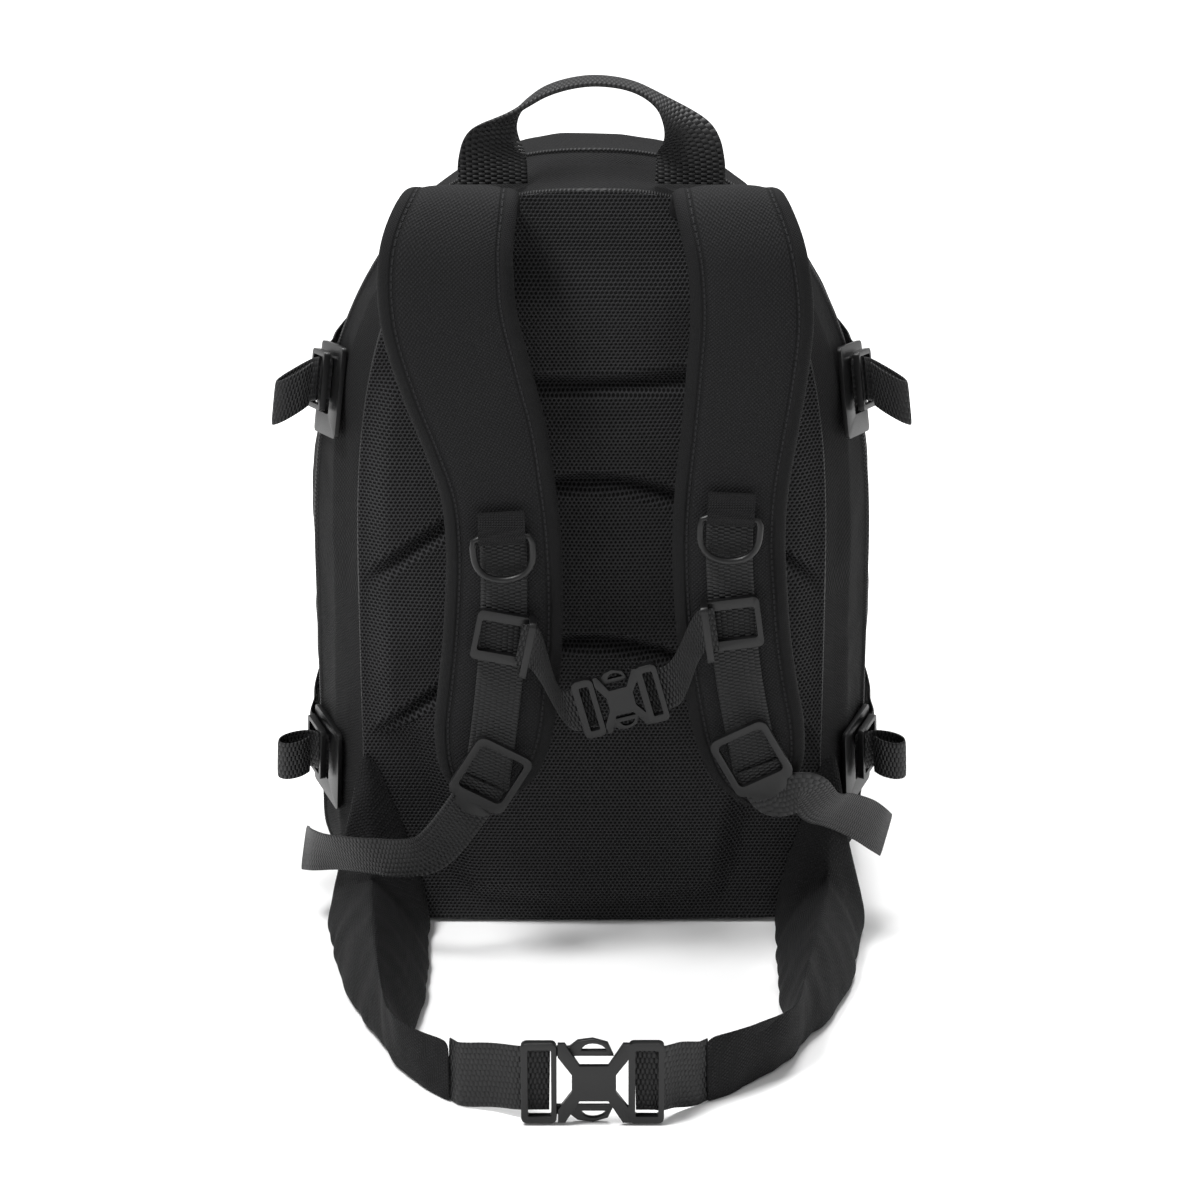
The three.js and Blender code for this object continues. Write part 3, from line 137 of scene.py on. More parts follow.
def swept(name: str, rows: int, around: int, place: Callable[[float, float], Spot],
          closed: bool = True) -> bpy.types.Object:
    """Shapes a grid into a surface.

    Args:
        name: The piece's name.
        rows: Faces along the piece.
        around: Faces across or around it.
        place: Gives the point, the UV in metres and the distance to the nearest edge for two
            shares from 0 to 1.
        closed: Whether the grid closes round into a body with filled ends.

    Returns:
        The new piece, at the origin.
    """
    deselect()
    bpy.ops.mesh.primitive_grid_add(x_subdivisions=around, y_subdivisions=rows, size=1)
    piece = bpy.context.object
    piece.name = name
    mesh = piece.data
    mesh.name = name
    spots = [place(v.co.x + 0.5, v.co.y + 0.5) for v in mesh.vertices]
    edge = mesh.attributes.new("edge", "FLOAT", "POINT")
    edge.data.foreach_set("value", [spot[2] for spot in spots])
    layer = mesh.uv_layers.active.data
    for loop in mesh.loops:
        layer[loop.index].uv = spots[loop.vertex_index][1]
    for vertex, spot in zip(mesh.vertices, spots):
        vertex.co = spot[0]
    bpy.ops.object.mode_set(mode="EDIT")
    if closed:
        bpy.ops.mesh.select_all(action="SELECT")
        bpy.ops.mesh.remove_doubles(threshold=1e-6)
        bpy.ops.mesh.fill_holes(sides=0)
    bpy.ops.mesh.select_all(action="SELECT")
    bpy.ops.mesh.normals_make_consistent(inside=False)
    bpy.ops.object.mode_set(mode="OBJECT")
    smooth_shade(piece, 50 if closed else None)
    return piece


def copied(name: str, node: str) -> bpy.types.Object:
    """A merged copy of a CAD node.

    Args:
        name: The copy's name.
        node: The CAD node.

    Returns:
        The copy, at the origin.
    """
    source = bpy.data.objects[node]
    piece = source.copy()
    piece.data = source.data.copy()
    piece.name = name
    piece.data.name = name
    bpy.context.collection.objects.link(piece)
    piece.parent = None
    piece.matrix_world.identity()
    activate(piece)
    piece.data.materials.clear()
    bpy.ops.object.mode_set(mode="EDIT")
    bpy.ops.mesh.select_all(action="SELECT")
    bpy.ops.mesh.remove_doubles(threshold=1e-5)
    bpy.ops.mesh.tris_convert_to_quads(face_threshold=math.radians(40),
                                       shape_threshold=math.radians(60))
    bpy.ops.object.mode_set(mode="OBJECT")
    return piece


def node_sections(node: str) -> list[Section]:
    """Reads the cross-sections of a flat band back from its CAD node.

    Args:
        node: A node lofted through outlines of four corners.

    Returns:
        The sections from one end to the other.
    """
    bm = bmesh.new()
    bm.from_mesh(bpy.data.objects[node].data)
    bmesh.ops.remove_doubles(bm, verts=bm.verts, dist=1e-5)
    ends = [v for v in bm.verts if len(v.link_edges) != 6]
    layer = [ends[0]]
    for v in layer:
        layer.extend(o for e in v.link_edges if (o := e.other_vert(v)) in ends and o not in layer)
    seen = set(layer)
    sections: list[Section] = []
    before: Vector | None = None
    while layer:
        points = [v.co.copy() for v in layer]
        first, *rest = points
        rest.sort(key=lambda p: (p - first).length)
        across = (rest[1] - first).normalized()
        if before is not None and across.dot(before) < 0:
            across.negate()
        before = across
        centre = sum(points, Vector()) / len(points)
        sections.append(Section(centre, across, Vector(), (rest[1] - first).length,
                                (rest[0] - first).length))
        following: list[bmesh.types.BMVert] = []
        for v in layer:
            for e in v.link_edges:
                other = e.other_vert(v)
                if other not in seen:
                    seen.add(other)
                    following.append(other)
        layer = following
    bm.free()
    return sections


def spline(values: np.ndarray, count: int) -> np.ndarray:
    """Resamples rows of numbers along a Catmull-Rom curve.

    Args:
        values: One row for each station.
        count: How many rows to return.

    Returns:
        The resampled rows.
    """
    last = len(values) - 1
    result = []
    for t in np.linspace(0, last, count):
        i = min(int(t), last - 1)
        s = t - i
        p0, p1 = values[max(i - 1, 0)], values[i]
        p2, p3 = values[i + 1], values[min(i + 2, last)]
        result.append(0.5 * (2 * p1 + (p2 - p0) * s + (2 * p0 - 5 * p1 + 4 * p2 - p3) * s * s
                             + (3 * p1 - p0 - 3 * p2 + p3) * s ** 3))
    return np.array(result)


def resampled(sections: Sequence[Section], step: float = 2 * MM,
              square: bool = False) -> list[Section]:
    """Sections at an even, close spacing with their outward directions worked out.

    Args:
        sections: The sections to run through.
        step: The spacing.
        square: Whether each section is turned square to the path.

    Returns:
        The closer sections.
    """
    table = np.array([[*s.at, *s.across, s.width, s.thick] for s in sections])
    length = sum((b.at - a.at).length for a, b in zip(sections, sections[1:]))
    table = spline(table, max(int(length / step), 8))
    result = []
    for i, row in enumerate(table):
        after, before = table[min(i + 1, len(table) - 1)], table[max(i - 1, 0)]
        along = Vector(after[:3] - before[:3]).normalized()
        across = Vector(row[3:6])
        if square:
            across -= along * across.dot(along)
        across.normalize()
        out = along.cross(across).normalized()
        result.append(Section(Vector(row[:3]), across, out, float(row[6]), float(row[7])))
    return result


def running_lengths(sections: Sequence[Section]) -> np.ndarray:
    """The distance along a path at each of its sections.

    Args:
        sections: The path's sections in order.

    Returns:
        One distance for each section, from 0.
    """
    steps = [(b.at - a.at).length for a, b in zip(sections, sections[1:])]
    return np.concatenate([[0.0], np.cumsum(steps)])


def ripple(point: Vector, size: float, amount: float) -> float:
    """Smooth noise at a point.

    Args:
        point: The place.
        size: The length of the noise's waves.
        amount: Its height.

    Returns:
        The offset.
    """
    return noise.noise(point / size) * amount


# Shader helpers


class Sheet:
    """Adds and links nodes in one node tree."""

    def __init__(self, tree: bpy.types.NodeTree) -> None:
        """Keeps the tree that the nodes go into.

        Args:
            tree: The node tree.
        """
        self.tree = tree

    def add(self, kind: str, *, inputs: dict[str | int, object] | None = None,
            **values: object) -> bpy.types.Node:
        """Adds a node.

        Args:
            kind: The node's type name.
            inputs: A value or an output for each input named or numbered.
            **values: The node's own settings.

        Returns:
            The node.
        """
        node = self.tree.nodes.new(kind)
        for key, value in values.items():
            setattr(node, key, value)
        for key, value in (inputs or {}).items():
            if isinstance(value, bpy.types.NodeSocket):
                self.tree.links.new(value, node.inputs[key])
            else:
                node.inputs[key].default_value = value
        return node

    def math(self, operation: str, *terms: object) -> bpy.types.NodeSocket:
        """The result of one math node.

        Args:
            operation: What it works out.
            *terms: Up to three numbers or outputs.

        Returns:
            Its output.
        """
        inputs = dict(enumerate(terms))
        return self.add("ShaderNodeMath", operation=operation, inputs=inputs).outputs[0]

    def mix(self, share: object, low: object, high: object) -> bpy.types.NodeSocket:
        """A colour between two colours.

        Args:
            share: How much of the second one there is.
            low: The first colour.
            high: The second colour.

        Returns:
            The mixed colour.
        """
        node = self.add("ShaderNodeMix", data_type="RGBA", inputs={0: share, 6: low, 7: high})
        return node.outputs[2]

    def ramp(self, value: object, low: float, high: float, start: float = 0.0,
             end: float = 1.0) -> bpy.types.NodeSocket:
        """A value carried smoothly from one range to another.

        Args:
            value: The value.
            low: Where its range starts.
            high: Where its range ends.
            start: What the range's start becomes.
            end: What its end becomes.

        Returns:
            The carried value.
        """
        node = self.add("ShaderNodeMapRange", interpolation_type="SMOOTHSTEP",
                        inputs={0: value, 1: low, 2: high, 3: start, 4: end})
        return node.outputs[0]


def group(name: str, inputs: Sequence[str], outputs: Sequence[str],
          build: Callable[[Sheet, dict[str, object]], dict[str, object]]) -> bpy.types.NodeTree:
    """A shader group, built the first time that it is asked for.

    Args:
        name: The group's name.
        inputs: Names of its inputs; one called Vector takes coordinates.
        outputs: Names of its value outputs.
        build: Makes the nodes and returns what feeds each output.

    Returns:
        The group.
    """
    if name in bpy.data.node_groups:
        return bpy.data.node_groups[name]
    tree = bpy.data.node_groups.new(name, "ShaderNodeTree")
    for word in inputs:
        kind = "NodeSocketVector" if word == "Vector" else "NodeSocketFloat"
        tree.interface.new_socket(word, in_out="INPUT", socket_type=kind)
    for word in outputs:
        tree.interface.new_socket(word, in_out="OUTPUT", socket_type="NodeSocketFloat")
    sheet = Sheet(tree)
    entry = sheet.add("NodeGroupInput")
    results = build(sheet, {word: entry.outputs[word] for word in inputs})
    leave = sheet.add("NodeGroupOutput")
    for word, output in results.items():
        tree.links.new(output, leave.inputs[word])
    return tree


def weave_group() -> bpy.types.NodeTree:
    """Over-and-under threads of a plain woven cloth.

    Returns:
        The group.
    """

    def build(sheet: Sheet, given: dict[str, object]) -> dict[str, object]:
        """Makes the group's nodes.

        Args:
            sheet: The group's tree.
            given: Its inputs by name.

        Returns:
            What feeds each output.
        """
        axes = sheet.add("ShaderNodeSeparateXYZ", inputs={0: given["Vector"]})
        u = sheet.math("DIVIDE", axes.outputs[0], given["Thread"])
        v = sheet.math("DIVIDE", axes.outputs[1], given["Thread"])
        w = sheet.math("DIVIDE", axes.outputs[2], given["Thread"])
        waves = [sheet.math("SINE", sheet.math("MULTIPLY", x, math.pi)) for x in (u, v, w)]
        flat = sheet.math("MULTIPLY", waves[0], waves[1])
        deep = sheet.math("MULTIPLY", sheet.math("ADD", waves[0], waves[1]), waves[2])
        height = sheet.math("ADD", flat, deep)
        speck = sheet.add("ShaderNodeTexNoise", inputs={"Vector": given["Vector"], "Scale": 900.0,
                                                        "Detail": 2.0})
        rough = sheet.math("MULTIPLY_ADD", speck.outputs[0], 1.4, -0.7)
        return {"Height": sheet.math("MULTIPLY_ADD", height, 0.5, rough)}

    return group("cloth_weave", ["Vector", "Thread"], ["Height"], build)


def knit_group() -> bpy.types.NodeTree:
    """Round holes of a spacer knit on a staggered lattice.

    Returns:
        The group.
    """

    def build(sheet: Sheet, given: dict[str, object]) -> dict[str, object]:
        """Makes the group's nodes.

        Args:
            sheet: The group's tree.
            given: Its inputs by name.

        Returns:
            What feeds each output.
        """
        axes = sheet.add("ShaderNodeSeparateXYZ", inputs={0: given["Vector"]})
        u = sheet.math("DIVIDE", axes.outputs[0], given["Pitch"])
        tall = sheet.math("MULTIPLY", given["Pitch"], math.sqrt(3))
        v = sheet.math("DIVIDE", axes.outputs[1], tall)
        spans = []
        for shift in (0.0, 0.5):
            a = sheet.math("SUBTRACT", sheet.math("FRACT", sheet.math("ADD", u, shift)), 0.5)
            b = sheet.math("SUBTRACT", sheet.math("FRACT", sheet.math("ADD", v, shift)), 0.5)
            b = sheet.math("MULTIPLY", b, math.sqrt(3))
            square = sheet.math("ADD", sheet.math("MULTIPLY", a, a), sheet.math("MULTIPLY", b, b))
            spans.append(sheet.math("SQRT", square))
        near = sheet.math("MINIMUM", *spans)
        return {"Hole": sheet.ramp(near, 0.36, 0.24), "Ring": sheet.ramp(near, 0.30, 0.48)}

    return group("spacer_knit", ["Vector", "Pitch"], ["Hole", "Ring"], build)


def rib_group() -> bpy.types.NodeTree:
    """Cross ribs and warp columns of webbing.

    Returns:
        The group.
    """

    def build(sheet: Sheet, given: dict[str, object]) -> dict[str, object]:
        """Makes the group's nodes.

        Args:
            sheet: The group's tree.
            given: Its inputs by name.

        Returns:
            What feeds each output.
        """
        axes = sheet.add("ShaderNodeSeparateXYZ", inputs={0: given["Vector"]})
        column = sheet.math("DIVIDE", axes.outputs[0], given["Column"])
        step = sheet.math("MULTIPLY", sheet.math("MODULO", sheet.math("FLOOR", column), 2.0), 0.5)
        row = sheet.math("ADD", sheet.math("DIVIDE", axes.outputs[1], given["Rib"]), step)
        across = sheet.math("ABSOLUTE", sheet.math("SINE", sheet.math("MULTIPLY", row, math.pi)))
        along = sheet.math("ABSOLUTE", sheet.math("SINE", sheet.math("MULTIPLY", column, math.pi)))
        return {"Height": sheet.math("MULTIPLY_ADD", along, 0.5, across)}

    return group("webbing_ribs", ["Vector", "Column", "Rib"], ["Height"], build)


def stitch_group() -> bpy.types.NodeTree:
    """A row of stitches at one distance from the edge.

    Returns:
        The group.
    """

    def build(sheet: Sheet, given: dict[str, object]) -> dict[str, object]:
        """Makes the group's nodes.

        Args:
            sheet: The group's tree.
            given: Its inputs by name.

        Returns:
            What feeds each output.
        """
        axes = sheet.add("ShaderNodeSeparateXYZ", inputs={0: given["Vector"]})
        run = sheet.math("FRACT", sheet.math("DIVIDE", axes.outputs[1], given["Pitch"]))
        thread = sheet.ramp(sheet.math("ABSOLUTE", sheet.math("SUBTRACT", run, 0.5)), 0.42, 0.30)
        off = sheet.math("ABSOLUTE", sheet.math("SUBTRACT", given["Edge"], given["Offset"]))
        line = sheet.ramp(off, 0.0009, 0.0003)
        groove = sheet.ramp(off, 0.0022, 0.0006)
        return {"Thread": sheet.math("MULTIPLY", thread, line), "Groove": groove}

    return group("stitches", ["Vector", "Edge", "Offset", "Pitch"], ["Thread", "Groove"], build)


def wear_group() -> bpy.types.NodeTree:
    """Slow changes of shade with a little lint.

    Returns:
        The group.
    """

    def build(sheet: Sheet, given: dict[str, object]) -> dict[str, object]:
        """Makes the group's nodes.

        Args:
            sheet: The group's tree.
            given: Its inputs by name.

        Returns:
            What feeds each output.
        """
        broad = sheet.add("ShaderNodeTexNoise", inputs={"Vector": given["Vector"], "Scale": 14.0,
                                                        "Detail": 4.0})
        fine = sheet.add("ShaderNodeTexNoise", inputs={"Vector": given["Vector"], "Scale": 1500.0,
                                                       "Detail": 1.0})
        return {"Shade": broad.outputs[0], "Lint": sheet.ramp(fine.outputs[0], 0.70, 0.80)}

    return group("wear", ["Vector"], ["Shade", "Lint"], build)


class Space(Enum):
    """The coordinates that a pattern follows."""

    UV = "UV"
    OBJECT = "Object"


@dataclass(frozen=True)
class Finish:
    """A material with a name, a colour and a roughness."""

    name: str
    shade: float = 0.016
    roughness: float = 0.85
    space: Space = Space.UV
    sheen: float = 0.0
    gloss: float = 0.18

    def colour(self, lift: float = 1.0) -> tuple[float, float, float, float]:
        """The finish's near-black colour.

        Args:
            lift: How many times lighter it is.

        Returns:
            The colour with its alpha.
        """
        return (self.shade * lift, self.shade * lift, self.shade * 1.06 * lift, 1.0)

    def start(self) -> tuple[bpy.types.Material, Sheet, bpy.types.Node, bpy.types.NodeSocket]:
        """An empty material with its shader and coordinates.

        Returns:
            The material, its sheet, its shader and its coordinates.
        """
        material = bpy.data.materials.new(self.name)
        material.use_nodes = True
        material.node_tree.nodes.clear()
        sheet = Sheet(material.node_tree)
        place = sheet.add("ShaderNodeTexCoord").outputs[self.space.value]
        shader = sheet.add("ShaderNodeBsdfPrincipled", inputs={"Roughness": self.roughness,
                                                               "Sheen Weight": self.sheen,
                                                               "Sheen Roughness": 0.4,
                                                               "Specular IOR Level": self.gloss})
        sheet.add("ShaderNodeOutputMaterial", inputs={"Surface": shader.outputs[0]})
        return material, sheet, shader, place

    def bump(self, sheet: Sheet, shader: bpy.types.Node, height: object, distance: float,
             strength: float = 1.0) -> None:
        """Feeds a height to the shader's normal.

        Args:
            sheet: The material's tree.
            shader: The shader.
            height: The height.
            distance: How deep the height is, in metres.
            strength: How much of it shows.
        """
        node = sheet.add("ShaderNodeBump", inputs={"Height": height, "Distance": distance,
                                                   "Strength": strength})
        sheet.tree.links.new(node.outputs[0], shader.inputs["Normal"])

    def worn(self, sheet: Sheet, shader: bpy.types.Node, place: object, mask: object,
             lift: float) -> None:
        """Feeds the colour and roughness, varied by wear and by a mask of lighter colour, which
        paints a highlight on raised threads and ribs and marks stitch thread.

        Args:
            sheet: The material's tree.
            shader: The shader.
            place: The coordinates.
            mask: Where the colour is lighter: a painted highlight on raised threads and ribs, and
                the stitch thread.
            lift: How many times lighter they are.
        """
        wear = sheet.add("ShaderNodeGroup", node_tree=wear_group(), inputs={"Vector": place})
        # The mask paints raised threads and ribs lighter than the hollows between them: painted
        # highlight.
        base = sheet.mix(mask, self.colour(), self.colour(lift))
        dull = sheet.math("MULTIPLY", wear.outputs["Shade"], 0.55)
        base = sheet.mix(dull, base, self.colour(1.5))
        base = sheet.mix(sheet.math("MULTIPLY", wear.outputs["Lint"], 0.5), base, self.colour(5.0))
        sheet.tree.links.new(base, shader.inputs["Base Color"])
        rough = sheet.math("MULTIPLY_ADD", wear.outputs["Shade"], 0.16, self.roughness - 0.08)
        sheet.tree.links.new(rough, shader.inputs["Roughness"])


@dataclass(frozen=True)
class WovenCloth(Finish):
    """Coated pack cloth with a plain weave."""

    thread: float = 1.1 * MM
    depth: float = 0.34 * MM

    def material(self) -> bpy.types.Material:
        """Builds the material.

        Returns:
            The material.
        """
        material, sheet, shader, place = self.start()
        weave = sheet.add("ShaderNodeGroup", node_tree=weave_group(),
                          inputs={"Vector": place, "Thread": self.thread}).outputs[0]
        # Raised threads are painted lighter than the hollows, a painted highlight, together with
        # random speckle of the cloth.
        self.worn(sheet, shader, place, sheet.ramp(weave, -0.3, 0.9), 2.4)
        self.bump(sheet, shader, weave, self.depth)
        return material


@dataclass(frozen=True)
class StrapCloth(WovenCloth):
    """Strap cloth whose edges are bound with stitched tape."""

    binding: float = 9.5 * MM

    def material(self) -> bpy.types.Material:
        """Builds the material.

        Returns:
            The material.
        """
        material, sheet, shader, place = self.start()
        edge = sheet.add("ShaderNodeAttribute", attribute_name="edge").outputs["Fac"]
        weave = sheet.add("ShaderNodeGroup", node_tree=weave_group(),
                          inputs={"Vector": place, "Thread": self.thread}).outputs[0]
        ribs = sheet.add("ShaderNodeGroup", node_tree=rib_group(),
                         inputs={"Vector": place, "Column": 0.8 * MM, "Rib": 1.1 * MM}).outputs[0]
        taped = sheet.ramp(edge, self.binding + 0.2 * MM, self.binding - 0.2 * MM)
        stitch = sheet.add("ShaderNodeGroup", node_tree=stitch_group(),
                           inputs={"Vector": place, "Edge": edge, "Offset": self.binding - 1.8 * MM,
                                   "Pitch": 3.4 * MM})
        face = sheet.math("MULTIPLY", weave, sheet.math("SUBTRACT", 1.0, taped))
        tape = sheet.math("MULTIPLY", sheet.math("MULTIPLY", ribs, 0.6), taped)
        height = sheet.math("ADD", face, tape)
        height = sheet.math("MULTIPLY_ADD", stitch.outputs["Groove"], -3.0, height)
        height = sheet.math("MULTIPLY_ADD", stitch.outputs["Thread"], 3.5, height)
        # Raised threads of the face are painted lighter, a painted highlight; the stitch thread is
        # lighter too, and the binding tape is left plain.
        mask = sheet.math("MULTIPLY", sheet.ramp(face, -0.2, 0.9),
                          sheet.math("SUBTRACT", 1.0, taped))
        mask = sheet.math("MAXIMUM", mask, sheet.math("MULTIPLY", stitch.outputs["Thread"], 0.9))
        self.worn(sheet, shader, place, mask, 4.2)
        self.bump(sheet, shader, height, self.depth)
        return material


@dataclass(frozen=True)
class SpacerKnit(Finish):
    """Knitted mesh over foam with open round holes, whose colour is painted near-black as painted
    shade.
    """

    pitch: float = 2.35 * MM

    def material(self) -> bpy.types.Material:
        """Builds the material.

        Returns:
            The material.
        """
        material, sheet, shader, place = self.start()
        knit = sheet.add("ShaderNodeGroup", node_tree=knit_group(),
                         inputs={"Vector": place, "Pitch": self.pitch})
        wear = sheet.add("ShaderNodeGroup", node_tree=wear_group(), inputs={"Vector": place})
        yarn = sheet.mix(wear.outputs["Shade"], self.colour(3.0), self.colour(7.5))
        # The holes are painted near-black: painted shade in the hollows of the knit.
        base = sheet.mix(knit.outputs["Hole"], yarn, self.colour(0.12))
        sheet.tree.links.new(base, shader.inputs["Base Color"])
        rough = sheet.math("MULTIPLY_ADD", knit.outputs["Hole"], 0.35, self.roughness - 0.3)
        sheet.tree.links.new(rough, shader.inputs["Roughness"])
        height = sheet.math("SUBTRACT", sheet.math("MULTIPLY", knit.outputs["Ring"], 0.5),
                            sheet.math("MULTIPLY", knit.outputs["Hole"], 1.2))
        self.bump(sheet, shader, height, 0.7 * MM)
        return material


@dataclass(frozen=True)
class Ribbed(Finish):
    """Nylon webbing with cross ribs."""

    column: float = 3.1 * MM
    rib: float = 2.2 * MM
    depth: float = 0.55 * MM

    def material(self) -> bpy.types.Material:
        """Builds the material.

        Returns:
            The material.
        """
        material, sheet, shader, place = self.start()
        ribs = sheet.add("ShaderNodeGroup", node_tree=rib_group(),
                         inputs={"Vector": place, "Column": self.column,
                                 "Rib": self.rib}).outputs[0]
        # The rib crests are painted lighter than the hollows between them: painted highlight.
        self.worn(sheet, shader, place, sheet.ramp(ribs, 0.35, 1.35), 3.2)
        self.bump(sheet, shader, ribs, self.depth)
        return material


@dataclass(frozen=True)
class Moulded(Finish):
    """Satin moulded plastic with a fine grain."""

    grain: float = 0.05 * MM

    def material(self) -> bpy.types.Material:
        """Builds the material.

        Returns:
            The material.
        """
        material, sheet, shader, place = self.start()
        grain = sheet.add("ShaderNodeTexNoise", inputs={"Vector": place, "Scale": 1400.0,
                                                        "Detail": 3.0}).outputs[0]
        wear = sheet.add("ShaderNodeGroup", node_tree=wear_group(), inputs={"Vector": place})
        base = sheet.mix(wear.outputs["Shade"], self.colour(0.9), self.colour(1.4))
        sheet.tree.links.new(base, shader.inputs["Base Color"])
        rough = sheet.math("MULTIPLY_ADD", grain, 0.14, self.roughness - 0.07)
        sheet.tree.links.new(rough, shader.inputs["Roughness"])
        self.bump(sheet, shader, grain, self.grain)
        return material


@dataclass
class Wardrobe:
    """Every finish of the pack, made once."""

    cloth: bpy.types.Material = field(init=False)
    folded: bpy.types.Material = field(init=False)
    strap: bpy.types.Material = field(init=False)
    knit: bpy.types.Material = field(init=False)
    webbing: bpy.types.Material = field(init=False)
    belt: bpy.types.Material = field(init=False)
    plastic: bpy.types.Material = field(init=False)
    tape: bpy.types.Material = field(init=False)

    def __post_init__(self) -> None:
        """Builds the materials."""
        self.cloth = WovenCloth("pack_cloth", shade=0.0042).material()
        self.folded = WovenCloth("wing_cloth", shade=0.0046, space=Space.OBJECT).material()
        self.strap = StrapCloth("strap_cloth", shade=0.0052).material()
        self.knit = SpacerKnit("back_mesh", shade=0.0036).material()
        self.webbing = Ribbed("strap_webbing", shade=0.0036, roughness=0.55, gloss=0.32).material()
        self.belt = Ribbed("belt_webbing", shade=0.0036, roughness=0.55, gloss=0.32,
                           column=3.2 * MM, rib=2.5 * MM).material()
        self.plastic = Moulded("black_plastic", shade=0.0030, roughness=0.40, gloss=0.34,
                               space=Space.OBJECT).material()
        self.tape = WovenCloth("zip_tape", shade=0.0040, roughness=0.7, space=Space.OBJECT,
                               thread=0.7 * MM).material()


def dress(piece: bpy.types.Object, material: bpy.types.Material, slot: str, *nodes: str,
          body: str = "pack") -> bpy.types.Object:
    """Gives a piece its material, its place on a body and the nodes that it stands for.

    Args:
        piece: The finished piece.
        material: Its finish.
        slot: The material slot's name, which is not used.
        *nodes: CAD nodes that it replaces.
        body: The body that it rides on.

    Returns:
        The piece.
    """
    piece.data.materials.clear()
    piece.data.materials.append(material)
    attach(piece, body)
    if nodes:
        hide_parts(*nodes)
    LOG.info("%s: %d faces", piece.name, len(piece.data.polygons))
    return piece


def web(name: str, node: str, looks: bpy.types.Material, wobble: float = 0.25 * MM,
        tuck: float = 0.0) -> bpy.types.Object:
    """Webbing along the sections of a CAD node, with soft edges and a slight waviness.

    Args:
        name: The new piece's name.
        node: The band that it replaces.
        looks: The webbing's material.
        wobble: How far it waves out of its plane.
        tuck: How far each end runs on beyond the node, into what holds it.

    Returns:
        The dressed webbing.
    """
    sections = node_sections(node)
    if tuck:
        for end, inner in ((0, 1), (-1, -2)):
            away = (sections[end].at - sections[inner].at).normalized()
            sections[end] = replace(sections[end], at=sections[end].at + away * tuck)
    sections = resampled(sections, 1.6 * MM)
    runs = running_lengths(sections)

    def place(u: float, v: float) -> Spot:
        """A point of the piece.

        Args:
            u: Share of the way round or across.
            v: Share of the way along.

        Returns:
            The point, its UV in metres and its distance to the edge.
        """
        index = round(v * (len(sections) - 1))
        section = sections[index]
        angle = 2 * math.pi * u
        x = math.copysign(abs(math.cos(angle)) ** 0.45, math.cos(angle)) * section.width / 2
        y = math.copysign(abs(math.sin(angle)) ** 0.6, math.sin(angle)) * section.thick / 2
        lift = ripple(section.at + section.across * x * 0.5, 22 * MM, wobble)
        point = section.at + section.across * x + section.out * (y + lift)
        return point, (x + section.width / 2, float(runs[index])), section.width / 2 - abs(x)

    piece = swept(name, len(sections) - 1, 28, place)
    return dress(piece, looks, "webbing", node)


def moulded(name: str, node: str, looks: bpy.types.Material, round_by: float = 0.7 * MM,
            body: str = "pack") -> bpy.types.Object:
    """A moulded piece with rounded edges over a CAD node.

    Args:
        name: The new piece's name.
        node: The node that it replaces.
        looks: Its plastic.
        round_by: The radius on its edges.
        body: The body that it rides on.

    Returns:
        The dressed piece.
    """
    piece = copied(name, node)
    activate(piece)
    bpy.ops.object.mode_set(mode="EDIT")
    bpy.ops.mesh.select_all(action="SELECT")
    bpy.ops.mesh.dissolve_limited(angle_limit=math.radians(2))
    bpy.ops.object.mode_set(mode="OBJECT")
    finish_modifier(piece, "BEVEL", width=round_by, segments=3, limit_method="ANGLE",
                    angle_limit=math.radians(35))
    finish_modifier(piece, "TRIANGULATE")
    smooth_shade(piece, 45)
    return dress(piece, looks, "plastic", node, body=body)


# The bag


@dataclass(frozen=True)
class BagRing:
    """A cross-section of the bag, in shares as the source has it."""

    share: float
    width: float
    top: float
    square: float
    round: float
    lift: float


